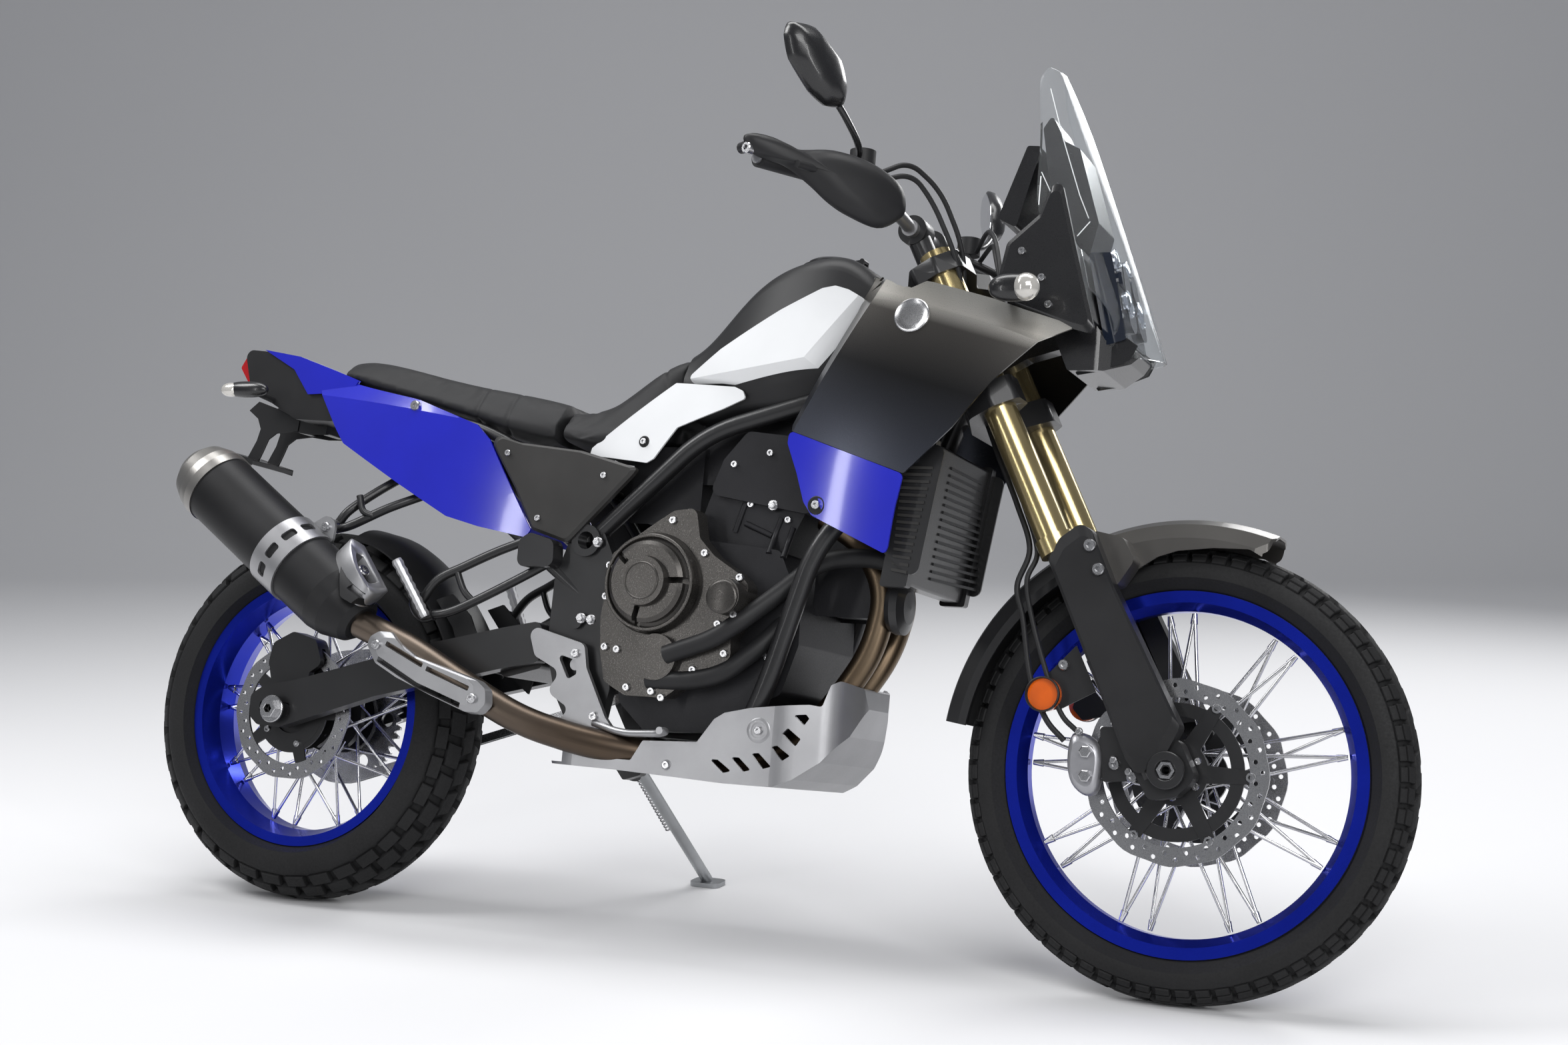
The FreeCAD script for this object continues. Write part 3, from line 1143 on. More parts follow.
band = chain_band(d.chain_height / 2)
inner_band = solid_of(band.extrude(ALONG_Y * d.chain_plate))
outer_band = inner_band.copy()
outer_band.translate(ALONG_Y * (chain_in * 2 + d.chain_plate))
rollers = []
for turn in (tilt + spread, tilt - spread):
    out = Vector(math.cos(turn), 0, math.sin(turn))
    run_start = rear_axle + out * d.sprocket_pitch_radius
    run_end = front_sprocket_centre + out * d.front_sprocket_radius
    count = 20
    for index in range(2, count - 1):
        at = run_start + (run_end - run_start) * (index / count)
        rollers.append(disc(at, d.chain_roller_radius, chain_low,
                            chain_low + chain_in * 2 + d.chain_plate * 2))
chain = joined(inner_band, outer_band, *rollers)
keep("drive_chain", less(chain, *shape_of("main_frame", "swingarm", "crankcase", "engine_covers")))

# Shock absorber between the arms
shock_low = spot(0.345, 0, 0.41)
shock_high = spot(0.322, 0, 0.79)
shock_way = (shock_high - shock_low).normalize()
shock_length = (shock_high - shock_low).Length
coil = []
for index in range(9):
    at = 0.22 + index * 0.075
    coil += [(0.62, at), (1, at + 0.02), (1, at + 0.045), (0.62, at + 0.065)]
shock_profile = [(0, 0), (0.5, 0), (0.5, 0.16), (0.9, 0.16), (0.9, 0.2)] + coil + [(0.9, 0.9), (0.5, 0.92),
                                                                                  (0.5, 1), (0, 1)]
shock = spun([(radius * d.pivot_radius * 1.1, along * shock_length) for radius, along in shock_profile],
             shock_low, shock_way, ALONG_Y)
keep("shock_absorber", less(shock, *shape_of("main_frame", "swingarm")))

# Skid plate under the engine: a tray with a raised nose that is round in plan
skid_side_shares = [
    (0.351, 0.32), (0.36, 0.35), (0.404, 0.338), (0.452, 0.338), (0.464, 0.376),
    (0.525, 0.381), (0.542, 0.425), (0.553, 0.438), (0.581, 0.45), (0.639, 0.464),
    (0.65, 0.462), (0.656, 0.503), (0.663, 0.512), (0.678, 0.503), (0.681, 0.466),
    (0.671, 0.413), (0.652, 0.362), (0.629, 0.327), (0.611, 0.311), (0.557, 0.31),
    (0.499, 0.314), (0.435, 0.318),
]
skid_hollow_shares = [
    (0.313, 0.326), (0.313, 0.594), (0.656, 0.594), (0.673, 0.526), (0.677, 0.469),
    (0.668, 0.416), (0.65, 0.367), (0.626, 0.333), (0.61, 0.317), (0.557, 0.315),
    (0.499, 0.32), (0.435, 0.323),
]
skid_plan_shares = [
    (0.339, -0.338, 0), (0.618, -0.338, 0), (0.66, -0.249, 0), (0.682, -0.102, 0),
    (0.682, 0.102, 0), (0.66, 0.249, 0), (0.618, 0.338, 0), (0.339, 0.338, 0),
]
skid_room_shares = [
    (0.301, -0.329, 0), (0.616, -0.329, 0), (0.657, -0.242, 0), (0.679, -0.098, 0),
    (0.679, 0.098, 0), (0.657, 0.242, 0), (0.616, 0.329, 0), (0.301, 0.329, 0),
]
skid = slab(skid_side_shares, -d.skid_half_width, d.skid_half_width, d.tight_round)
skid = skid.common(plate(spots(skid_plan_shares), UP * d.seat_height, d.skid_half_width * 0.5))
skid_room = slab(skid_hollow_shares, -d.skid_half_width, d.skid_half_width, d.tight_round)
skid_room = skid_room.common(plate(spots(skid_room_shares), UP * d.seat_height, d.skid_half_width * 0.48))
stand_room = slab([
    (0.313, 0.229), (0.313, 0.434), (0.433, 0.457), (0.433, 0.229),
], d.pivot_plate_inner * 0.6, d.half_width, d.tight_round)
skid_slot_shares = [[
    (0.541, 0.352), (0.55, 0.352), (0.566, 0.333), (0.557, 0.329),
], [
    (0.564, 0.359), (0.573, 0.359), (0.587, 0.338), (0.579, 0.334),
],
                    [
    (0.586, 0.368), (0.594, 0.37), (0.609, 0.347), (0.6, 0.342),
], [
    (0.607, 0.383), (0.613, 0.386), (0.626, 0.369), (0.619, 0.359),
],
                    [
    (0.617, 0.408), (0.622, 0.419), (0.634, 0.401), (0.63, 0.387),
], [
    (0.626, 0.443), (0.637, 0.446), (0.64, 0.439), (0.636, 0.426),
]]
skid_slots = [slab(shares, -d.half_width, -d.skid_half_width * 0.7, d.overrun * 0.5)
              for shares in skid_slot_shares]
skid = less(skid, skid_room, stand_room, *skid_slots)
skid = less(skid, *shape_of("main_frame", "exhaust_pipes", "crankcase", "coolant_hoses"))
keep("skid_plate", biggest(skid))


# Body lofts: rounded cross sections at places along the machine
def hoop(x_share, half_width, z_low_share, z_high_share, shoulder, crown):
    """A cross section: flat base, upright sides, shoulders drawn in to a crowned top."""
    low = z_low_share * d.seat_height
    high = z_high_share * d.seat_height
    x = x_share * d.wheelbase
    edge = high - (high - low) * shoulder
    corners = [(-half_width * 0.8, low), (half_width * 0.8, low), (half_width, low + (edge - low) * 0.35),
               (half_width, edge), (half_width * crown, high), (-half_width * crown, high),
               (-half_width, edge), (-half_width, low + (edge - low) * 0.35)]
    return round_loop([Vector(x, y, z) for y, z in corners], d.corner_round * 3)


def hull(stations):
    """A solid through a row of hoops."""
    return solid_of(Part.makeLoft([hoop(*station) for station in stations], True, False))


# Fuel tank with its cap, between the side panels
tank_stations = [
    (0.448, d.seat_half_width * 0.62, 1.02, 1.135, 0.5, 0.6),
    (0.5, d.seat_half_width * 0.82, 0.99, 1.222, 0.5, 0.62),
    (0.54, d.seat_half_width * 0.93, 1.0, 1.282, 0.45, 0.66),
    (0.59, d.seat_half_width * 0.98, 1.0, 1.313, 0.4, 0.7),
    (0.63, d.seat_half_width * 0.92, 1.03, 1.31, 0.36, 0.74),
    (0.67, d.seat_half_width * 0.8, 1.07, 1.255, 0.4, 0.76),
    (0.69, d.seat_half_width * 0.7, 1.1, 1.225, 0.5, 0.76),
]
tank = hull(tank_stations)
tank = less(tank, *shape_of("main_frame", "cylinders"))
tank = less(tank, *turning_room(upper_clamp_shares, d.upper_clamp_bottom,
                                d.upper_clamp_top + d.riser_radius * 2))
tank = biggest(tank)
cap_seat = spot(0.592, 0, 1.316)
cap_bore = bar(cap_seat - UP * d.cap_radius * 0.7, cap_seat + UP * d.cap_radius, d.cap_radius * 0.8)
cap_neck = bar(cap_seat - UP * d.cap_radius * 0.4, cap_seat - UP * d.overrun * 0.4, d.cap_radius * 1.2)
cap_floor = cap_seat - UP * d.overrun * 0.4 + UP * d.running_gap
cap_room = bar(cap_floor - UP * d.running_gap, cap_floor + UP * d.cap_radius, d.cap_radius * 1.2)
cap_hinge = cap_floor + FORWARD * (d.cap_radius + d.cap_knuckle * 1.3) + UP * d.cap_radius * 0.2
knuckle_half = ALONG_Y * d.cap_knuckle * 1.8
ear_inner = knuckle_half + ALONG_Y * d.running_gap
ear_outer = ear_inner + ALONG_Y * d.cap_knuckle
cap_pin = bar(cap_hinge - ear_outer, cap_hinge + ear_outer, d.cap_pin_radius)
ears = []
for inner, outer in ((ear_inner, ear_outer), (ear_inner * -1, ear_outer * -1)):
    ears.append(bar(cap_hinge + inner, cap_hinge + outer, d.cap_knuckle))
    foot = [cap_hinge + inner + FORWARD * (d.cap_knuckle * share) - UP * d.cap_radius * low
            for share, low in ((-0.9, 0), (0.9, 0), (0.9, 0.5), (-0.9, 0.5))]
    ears.append(plate(foot, outer - inner, d.overrun * 0.2))
tank = joined(less(joined(tank, cap_neck), cap_bore, cap_room), cap_pin, *ears)
keep("fuel_tank", tank)
cap_profile = [(0, 0), (d.cap_radius, 0), (d.cap_radius, d.cap_radius * 0.14),
               (d.cap_radius * 0.86, d.cap_radius * 0.22),
               (0, d.cap_radius * 0.26)]
cap = spun(cap_profile, cap_floor, UP, FORWARD)
tongue = [cap_hinge - knuckle_half + FORWARD * (d.cap_knuckle * share) - UP * d.cap_knuckle * low
          for share, low in ((-4, -0.2), (0, -0.9), (0, 0.9), (-4, 1.3))]
cap_knuckle = joined(bar(cap_hinge - knuckle_half, cap_hinge + knuckle_half, d.cap_knuckle),
                     plate(tongue, knuckle_half * 2, d.overrun * 0.1))
cap_pin_bore = bar(cap_hinge - ear_outer, cap_hinge + ear_outer, d.cap_pin_radius + d.pin_gap)
keep("fuel_cap", less(joined(cap, cap_knuckle), cap_pin_bore))

# Seats
rider_seat_stations = [
    (0.318, d.seat_half_width * 0.98, 0.94, 1.018, 0.6, 0.66),
    (0.36, d.seat_half_width * 1.0, 0.93, 1.022, 0.6, 0.66),
    (0.4, d.seat_half_width * 0.86, 0.93, 1.085, 0.7, 0.62),
    (0.443, d.seat_half_width * 0.6, 0.95, 1.133, 0.7, 0.58),
]
rider_seat = less(hull(rider_seat_stations), *shape_of("main_frame", "fuel_tank"))
keep("rider_seat", rider_seat)
rear_seat_stations = [
    (0.012, d.seat_half_width * 0.7, 1.07, 1.116, 0.6, 0.6),
    (0.05, d.seat_half_width * 0.86, 1.05, 1.113, 0.6, 0.66),
    (0.14, d.seat_half_width * 0.98, 1.01, 1.08, 0.6, 0.7),
    (0.24, d.seat_half_width * 1.06, 0.96, 1.046, 0.6, 0.7),
    (0.3175, d.seat_half_width * 1.0, 0.93, 1.02, 0.6, 0.66),
]
rear_seat = less(hull(rear_seat_stations), *shape_of("main_frame", "rider_seat"))
keep("passenger_seat", rear_seat)

# Tail: painted side panels, flat below and drawn in above a crease, and the black unit between them
tail_shares = [
    (-0.071, 1.12), (-0.019, 1.081), (-0.003, 1.045), (0.032, 0.958), (0.045, 0.93),
    (0.13, 0.847), (0.196, 0.785), (0.237, 0.767), (0.294, 0.75), (0.3, 0.765),
    (0.275, 0.837), (0.239, 0.941), (0.221, 0.971), (0.211, 0.977), (0.179, 0.997),
    (0.139, 1.022), (0.056, 1.057), (-0.026, 1.093), (-0.074, 1.125),
]
tail_front_shares = [
    (0.221, 1.143), (0.195, 0.974), (0.194, 0.961), (0.206, 0.903), (0.21, 0.686),
    (0.376, 0.686), (0.376, 1.143),
]
tail_dome = dome(spots([
    (0.182, -0.304, 0.914),
])[0], Vector(0, -1, 0.05), d.broad_dome)
tail_bevel = dome(spots([
    (0.094, -0.28, 1.011),
])[0], Vector(0, -1, 0.62), d.broad_dome)
tail_block = slab(tail_shares, -d.half_width, -d.stem_radius, d.tight_round)
tail_front = tail_block.common(slab(tail_front_shares, -d.half_width, -d.stem_radius, d.overrun))


def tail_body(shrink):
    """The tail panel as a full block, with its crease, drawn in by an amount."""
    rear = within(tail_block, [tail_bevel], shrink)
    return within(rear.fuse(tail_front), [tail_dome], shrink)


tail_panel = biggest(less(tail_body(0), tail_body(d.panel_wall)))
tail_posts = []
for post in spots([
    (0.113, -0.187, 1.01), (0.251, -0.187, 0.946), (0.188, -0.187, 0.914),
]):
    tail_posts.append(disc(post, d.bolt_radius * 1.6, -d.half_width,
                           post.y).common(tail_body(d.panel_wall / 2)))
tail_panel = joined(tail_panel, *tail_posts)
tail_inner = d.seat_half_width * 0.78
tail_panel = biggest(less(tail_panel, *shape_of("main_frame", "passenger_seat", "rider_seat")))
keep("tail_panels", pair(tail_panel))
unit_shares = [
    (-0.119, 1.134), (-0.063, 1.125), (0.025, 1.063), (0.038, 1.006), (0.013, 0.981),
    (-0.038, 0.985), (-0.105, 1.049),
]
unit = slab(unit_shares, -tail_inner + d.running_gap, tail_inner - d.running_gap, d.corner_round)
lamp_shares = [
    (-0.133, 1.099), (-0.123, 1.131), (-0.117, 1.131), (-0.099, 1.047), (-0.112, 1.047),
]
lamp_half = d.seat_half_width * 0.6
tail_lamp = slab(lamp_shares, -lamp_half, lamp_half, d.tight_round)
unit = biggest(less(unit, *shape_of("main_frame", "passenger_seat", "tail_panels")))
keep("tail_unit", unit)
keep("tail_lamp", less(tail_lamp, unit))

# Plate bracket, small lamp and the inner mudguard over the rear tyre
bracket_shares = [
    (-0.031, 0.992), (-0.075, 0.985), (-0.11, 0.939), (-0.119, 0.903), (-0.139, 0.901),
    (-0.148, 0.937), (-0.129, 0.969), (-0.088, 1.029), (-0.038, 1.029),
]
plate_bracket = slab(bracket_shares, -d.pivot_plate_inner * 0.28, d.pivot_plate_inner * 0.28, d.corner_round)
bar_lamp = slab([
    (-0.158, 0.923), (-0.15, 0.939), (-0.129, 0.921), (-0.134, 0.907),
], -d.lamp_radius * 1.6, d.lamp_radius * 1.6,
                d.tight_round)
plate_bracket = less(joined(plate_bracket, bar_lamp),
                     *shape_of("tail_unit", "tail_lamp", "tail_panels", "main_frame"))
keep("plate_bracket", biggest(plate_bracket))
mudguard_shares = [
    (0.006, 0, 1.006), (0.015, 0, 0.823), (0.044, 0, 0.8), (0.113, 0, 0.789),
    (0.169, 0, 0.754), (0.213, 0, 0.697), (0.227, 0, 0.64), (0.232, 0, 0.594),
]
guard_points = spots(mudguard_shares)
inner_half = d.rear_tyre_half_width * 1.12
mud_line = [Vector(point.x, -inner_half, point.z) for point in guard_points[1:]]
mud_back = [Vector(point.x + d.panel_wall, -inner_half, point.z + d.panel_wall)
            for point in reversed(guard_points[1:])]
mudguard = Part.Face(Part.makePolygon(mud_line + mud_back + mud_line[:1])).extrude(ALONG_Y * inner_half * 2)
mud_hanger = slab([
    (0.038, 0.807), (0.038, 1.029), (0.069, 1.029), (0.094, 0.8),
], -inner_half, -inner_half + d.panel_wall, d.tight_round)
mudguard = joined(solid_of(mudguard), mud_hanger, other_side(mud_hanger))
mudguard = less(mudguard, *shape_of("main_frame", "swingarm", "shock_absorber", "tail_unit", "passenger_seat",
                                    "rider_seat", "tail_panels"))
keep("rear_mudguard", biggest(mudguard))

# Side covers under the seat
cover_shares = [
    (0.233, 0.957), (0.278, 0.936), (0.354, 0.922), (0.421, 0.891), (0.416, 0.878),
    (0.351, 0.752), (0.345, 0.742), (0.302, 0.765), (0.276, 0.846),
]
cover_inner = d.seat_half_width * 0.98
cover_outer = d.seat_half_width * 1.1
side_cover = pod(cover_shares, [(-cover_inner, 1), (-cover_outer + d.panel_wall, 1), (-cover_outer, 0.94)],
                 d.corner_round)
cover_post = disc(spot(0.32, 0, 0.875), d.bolt_radius * 1.6, -cover_outer + d.panel_wall,
                  -d.seat_half_width * 0.7)
side_cover = less(joined(side_cover, cover_post),
                  *shape_of("main_frame", "rider_seat", "tail_panels", "rear_mudguard"))
keep("side_covers", pair(biggest(side_cover)))

# White panels on the tank's sides, in an upper and a lower part
upper_panel_shares = [
    (0.456, 1.061), (0.504, 1.061), (0.528, 1.057), (0.534, 1.032), (0.552, 1.046),
    (0.567, 1.055), (0.599, 1.055), (0.616, 1.073), (0.628, 1.107), (0.657, 1.184),
    (0.658, 1.208), (0.655, 1.223), (0.639, 1.239), (0.624, 1.247), (0.61, 1.242),
    (0.567, 1.2), (0.501, 1.125),
]
lower_panel_shares = [
    (0.359, 0.931), (0.357, 0.917), (0.43, 0.902), (0.438, 0.91), (0.462, 0.971),
    (0.512, 1.01), (0.534, 1.031), (0.53, 1.046), (0.521, 1.053), (0.454, 1.059),
]
upper_domes = [dome(spots([
    (0.567, -0.289, 1.126),
])[0], Vector(-0.06, -1, 0.1), d.tight_dome),
               dome(spots([
    (0.618, -0.287, 1.147),
])[0], Vector(0.49, -0.83, -0.25), d.tight_dome),
               dome(spots([
    (0.571, -0.291, 1.094),
])[0], Vector(0.08, -0.76, -0.65), d.tight_dome)]
lower_domes = [dome(spots([
    (0.451, -0.282, 0.971),
])[0], Vector(-0.02, -1, 0.06), d.tight_dome)]
panel_depth = d.stem_radius * 2
upper_posts = [
    (0.602, -0.156, 1.143), (0.63, -0.156, 1.189), (0.539, -0.156, 1.097),
]
lower_posts = [
    (0.486, -0.122, 1.029), (0.433, -0.111, 0.971),
]
upper_panel = moulding(upper_panel_shares, upper_domes, panel_depth, d.rail_round, upper_posts)
lower_panel = moulding(lower_panel_shares, lower_domes, panel_depth, d.tight_round, lower_posts)
upper_panel = biggest(less(upper_panel, *shape_of("main_frame", "fuel_tank", "cylinders", "rider_seat")))
lower_panel = less(lower_panel, upper_panel, *shape_of("main_frame", "fuel_tank", "cylinders",
                                                       "rider_seat", "side_covers"))
lower_panel = biggest(lower_panel)
keep("tank_panels", Part.makeCompound([upper_panel, lower_panel, other_side(upper_panel),
                                       other_side(lower_panel)]))

# Large fairings ahead of the panels, with a painted lower corner
fairing_shares = [
    (0.636, 1.294), (0.666, 1.265), (0.738, 1.241), (0.802, 1.209), (0.834, 1.189),
    (0.878, 1.165), (0.883, 1.157), (0.851, 1.128), (0.811, 1.053), (0.777, 0.967),
    (0.745, 0.905), (0.732, 0.881), (0.604, 0.959), (0.601, 0.973), (0.627, 1.081),
    (0.653, 1.194), (0.653, 1.219), (0.651, 1.24),
]
corner_shares = [
    (0.604, 0.958), (0.732, 0.88), (0.729, 0.849), (0.726, 0.821), (0.721, 0.749),
    (0.718, 0.737), (0.637, 0.802), (0.627, 0.826), (0.617, 0.878), (0.603, 0.935),
]
fairing_dome = dome(spots([
    (0.717, -0.36, 1.184),
])[0], Vector(0, -1, 0.207), d.broad_dome * 0.7)
fairing_domes = [fairing_dome,
                 dome(spots([
    (0.74, -0.349, 1.202),
])[0], Vector(0.05, -1, 0.32), d.broad_dome * 0.65),
                 dome(spots([
    (0.641, -0.384, 1.077),
])[0], Vector(-0.69, -0.6, 0.4), d.broad_dome)]
fairing_posts = [
    (0.676, -0.133, 1.173), (0.735, -0.222, 0.914),
]
corner_posts = [
    (0.652, -0.267, 0.802), (0.702, -0.244, 0.823),
]
clamp_rooms = turning_room(upper_clamp_shares, d.upper_clamp_bottom, d.upper_clamp_top)
clamp_rooms += turning_room(lower_clamp_shares, d.lower_clamp_bottom, d.lower_clamp_top)
tube_room_top = d.fork_tube_top + d.overrun * 1.5
tube_room = fork_rod(-d.fork_place, d.fork_tube_radius + d.overrun * 1.5, d.lower_clamp_bottom, tube_room_top)
clamp_rooms += turned_rooms(tube_room)
fairing = moulding(fairing_shares, fairing_domes, d.stem_radius * 2, d.tight_round, fairing_posts)
fairing_tools = shape_of("main_frame", "fuel_tank", "tank_panels", "radiator", "cylinders")
fairing = biggest(less(fairing, *clamp_rooms, *fairing_tools))
corner = moulding(corner_shares, [fairing_dome], d.stem_radius * 2, d.rail_round, corner_posts)
corner = biggest(less(corner, fairing, *fairing_tools))
keep("tank_fairings", pair(fairing))
keep("fairing_corners", pair(corner))

# Tower on the head tube: stay, side plates, mast, lamps, display and screen
stay_shares = [
    (0.762, 1.079), (0.752, 1.143), (0.809, 1.221), (0.834, 1.28), (0.871, 1.257),
    (0.859, 1.154), (0.815, 1.131),
]
stay = slab(stay_shares, -d.stem_radius * 0.85, d.stem_radius * 0.85, d.tight_round)
tower_side_shares = [
    (0.842, 1.368), (0.809, 1.314), (0.803, 1.255), (0.815, 1.2), (0.883, 1.155),
    (0.905, 1.144), (0.877, 1.319), (0.857, 1.449),
]
tower_half = d.fork_place * 1.3
tower_side = pod(tower_side_shares, [(-tower_half + d.panel_wall * 2, 1), (-tower_half, 1),
                                     (-tower_half - d.panel_wall, 0.9)],
                 d.corner_round)
tower_bridge_shares = [
    (0.834, 1.271), (0.854, 1.36), (0.876, 1.314), (0.897, 1.177), (0.878, 1.161),
    (0.859, 1.246),
]
tower_bridge = slab(tower_bridge_shares, -tower_half + d.panel_wall, tower_half - d.panel_wall, d.tight_round)
mast_shares = [
    (0.82, 1.557), (0.829, 1.582), (0.844, 1.531), (0.86, 1.515), (0.885, 1.374),
    (0.878, 1.314), (0.846, 1.314),
]
mast_half = d.lamp_radius * 1.9
mast = slab(mast_shares, -mast_half, mast_half, d.tight_round)
mast_room = slab([
    (0.831, 1.52), (0.846, 1.497), (0.871, 1.36), (0.856, 1.36),
], -mast_half + d.panel_wall * 2,
                 mast_half - d.panel_wall * 2, d.tight_round)
beak_shares = [
    (0.854, 1.154), (0.871, 1.189), (0.893, 1.184), (0.903, 1.152), (0.936, 1.135),
    (0.926, 1.114), (0.903, 1.096), (0.869, 1.094),
]
beak_plan_shares = [
    (0.84, -0.187, 0), (0.897, -0.169, 0), (0.94, -0.058, 0), (0.94, 0.058, 0),
    (0.897, 0.169, 0), (0.84, 0.187, 0),
]
beak = slab(beak_shares, -d.half_width, d.half_width, d.tight_round)
beak = beak.common(plate(spots(beak_plan_shares), UP * d.seat_height * 1.3, d.corner_round))
tower = joined(tower_side, other_side(tower_side), tower_bridge, stay, less(mast, mast_room), beak)
dash_shares = [
    (0.785, 1.379), (0.811, 1.515), (0.826, 1.513), (0.805, 1.361),
]
dash = slab(dash_shares, -d.lamp_radius * 3, d.lamp_radius * 3, d.tight_round)
dash_arm = slab([
    (0.805, 1.413), (0.815, 1.463), (0.843, 1.442), (0.843, 1.371),
], -d.lamp_radius * 0.8, d.lamp_radius * 0.8, d.tight_round)
tower = biggest(less(joined(tower, dash, dash_arm), *shape_of("main_frame", "tank_fairings")))
keep("front_tower", tower)
lamp_block_shares = [
    (0.88, 1.314), (0.903, 1.314), (0.924, 1.154), (0.903, 1.143),
]
lamp_block = less(slab(lamp_block_shares, -d.lamp_radius * 2.6, d.lamp_radius * 2.6, d.tight_round), tower)
lamp_way = (spot(0.9028, 0, 1.314) - spot(0.9241, 0, 1.154)).normalize()
lamp_face = ALONG_Y.cross(lamp_way)
if lamp_face.x < 0:
    lamp_face = -lamp_face
lenses = []
for along in (0.3, 0.72):
    for side in (-1.25, 1.25):
        at = spot(0.9241, side * d.lamp_radius, 1.154) + lamp_way * (along * 0.16 * d.seat_height)
        lenses.append(bar(at - lamp_face * d.lamp_radius, at + lamp_face * d.overrun * 2, d.lamp_radius))
lamp_block = joined(lamp_block, *lenses)
keep("headlamps", less(lamp_block, tower))

screen_stations = [
    (1.126, 0.955, 0.9, 0.14),
    (1.257, 0.929, 0.88, 0.215),
    (1.377, 0.903, 0.838, 0.262),
    (1.486, 0.879, 0.834, 0.258),
    (1.6, 0.852, 0.826, 0.215),
    (1.674, 0.832, 0.824, 0.11),
]


def skin(front_rows, back_rows):
    """A curved wall between two smooth surfaces through rows of points."""
    surfaces = []
    for rows in (front_rows, back_rows):
        surface = Part.BSplineSurface()
        surface.interpolate(rows)
        surfaces.append(surface.toShape())
    faces = list(surfaces)
    for front_edge, back_edge in zip(surfaces[0].Edges, surfaces[1].Edges):
        faces.append(Part.makeRuledSurface(front_edge, back_edge))
    shell = Part.makeShell(faces)
    shell.sewShape()
    return solid_of(Part.makeSolid(shell))


def screen_row(z_share, middle_share, edge_share, half_share, behind):
    """One level of the screen: a parabola in plan from edge to edge."""
    sweep = (middle_share - edge_share) * d.wheelbase
    middle = middle_share * d.wheelbase - behind
    across = [step / 4 for step in range(-4, 5)]
    return [Vector(middle - sweep * place * place, half_share * d.half_width * place, z_share * d.seat_height)
            for place in across]


screen = skin([screen_row(*station, 0) for station in screen_stations],
              [screen_row(*station, d.screen_wall) for station in screen_stations])
keep("windscreen", less(screen, *shape_of("front_tower", "headlamps")))

# Horn, indicators, rear brake and its bottle
horn_at = spot(0.7, -0.12 * d.half_width, 0.656)
horn_profile = [(0, 0), (d.horn_radius * 0.9, 0), (d.horn_radius, d.horn_radius * 0.2),
                (d.horn_radius, d.horn_radius * 0.5),
                (d.horn_radius * 0.6, d.horn_radius * 0.66), (0, d.horn_radius * 0.7)]
horn = spun(horn_profile, horn_at, FORWARD, UP)
horn_tab = slab([
    (0.7, 0.647), (0.7, 0.715), (0.707, 0.731), (0.721, 0.731), (0.707, 0.647),
], -d.half_width * 0.16, -d.half_width * 0.1, d.tight_round)
horn = less(joined(horn, horn_tab), *shape_of("radiator", "exhaust_pipes", "coolant_hoses", "main_frame"))
keep("horn", biggest(horn))


def indicator(root, tip, length):
    """A small teardrop lamp on a short stalk, from its root to its tip."""
    out = (tip - root).normalize()
    stalk = bar(root, tip, d.bolt_radius)
    shell_profile = [(0, -0.5), (0.26, -0.42), (0.5, -0.1), (0.56, 0.2), (0.5, 0.5), (0, 0.56)]
    shell = spun([(radius * length, along * length) for radius, along in shell_profile], tip, FORWARD, UP)
    return joined(stalk, shell)


front_indicator = indicator(spot(0.842, -tower_half, 1.212), spot(0.842, -0.49 * d.half_width, 1.212),
                            d.lamp_radius * 1.9)
front_indicator = less(front_indicator, *shape_of("front_tower", "tank_fairings"))
rear_indicator = indicator(spot(-0.098, -0.05 * d.half_width, 0.978),
                           spot(-0.1, -0.3 * d.half_width, 0.98), -d.lamp_radius * 1.7)
rear_indicator = less(rear_indicator, *shape_of("plate_bracket", "tail_unit", "tail_panels", "tail_lamp"))
rear_indicator = biggest(rear_indicator)
front_indicator = biggest(front_indicator)
keep("indicators", Part.makeCompound([front_indicator, other_side(front_indicator), rear_indicator,
                                      other_side(rear_indicator)]))
rear_caliper_shares = [
    (-0.034, 0.462), (-0.029, 0.517), (-0.003, 0.542), (0.028, 0.528), (0.039, 0.48),
    (0.019, 0.455),
]
rear_caliper_inner = d.rear_disc_place - d.overrun * 4
rear_caliper = slab(rear_caliper_shares, -d.swingarm_inner + d.running_gap, -rear_caliper_inner,
                    d.corner_round)
rear_disc_room = disc(rear_axle, d.rear_disc_radius + d.disc_gap,
                      -d.rear_disc_place - d.disc_thick / 2 - d.disc_gap,
                      -d.rear_disc_place + d.disc_thick / 2 + d.disc_gap)
rear_hanger = slab([
    (-0.019, 0.389), (-0.033, 0.48), (0.025, 0.48), (0.019, 0.389),
], -d.swingarm_inner + d.running_gap,
                   -d.rear_disc_place - d.disc_thick / 2 - d.disc_gap, d.corner_round)
rear_caliper = less(joined(rear_caliper, rear_hanger), rear_disc_room, nodes["swingarm"].Shape)
rear_caliper = biggest(rear_caliper)
bottle_shares = [
    (0.295, 0.69), (0.295, 0.743), (0.308, 0.757), (0.337, 0.743), (0.339, 0.693),
]
rear_bottle = slab(bottle_shares, -d.seat_half_width * 1.24, -d.seat_half_width * 0.96, d.corner_round)
rear_bottle = less(rear_bottle, *shape_of("main_frame", "side_covers", "tail_panels"))
keep("rear_brake", Part.makeCompound([rear_caliper, biggest(rear_bottle)]))

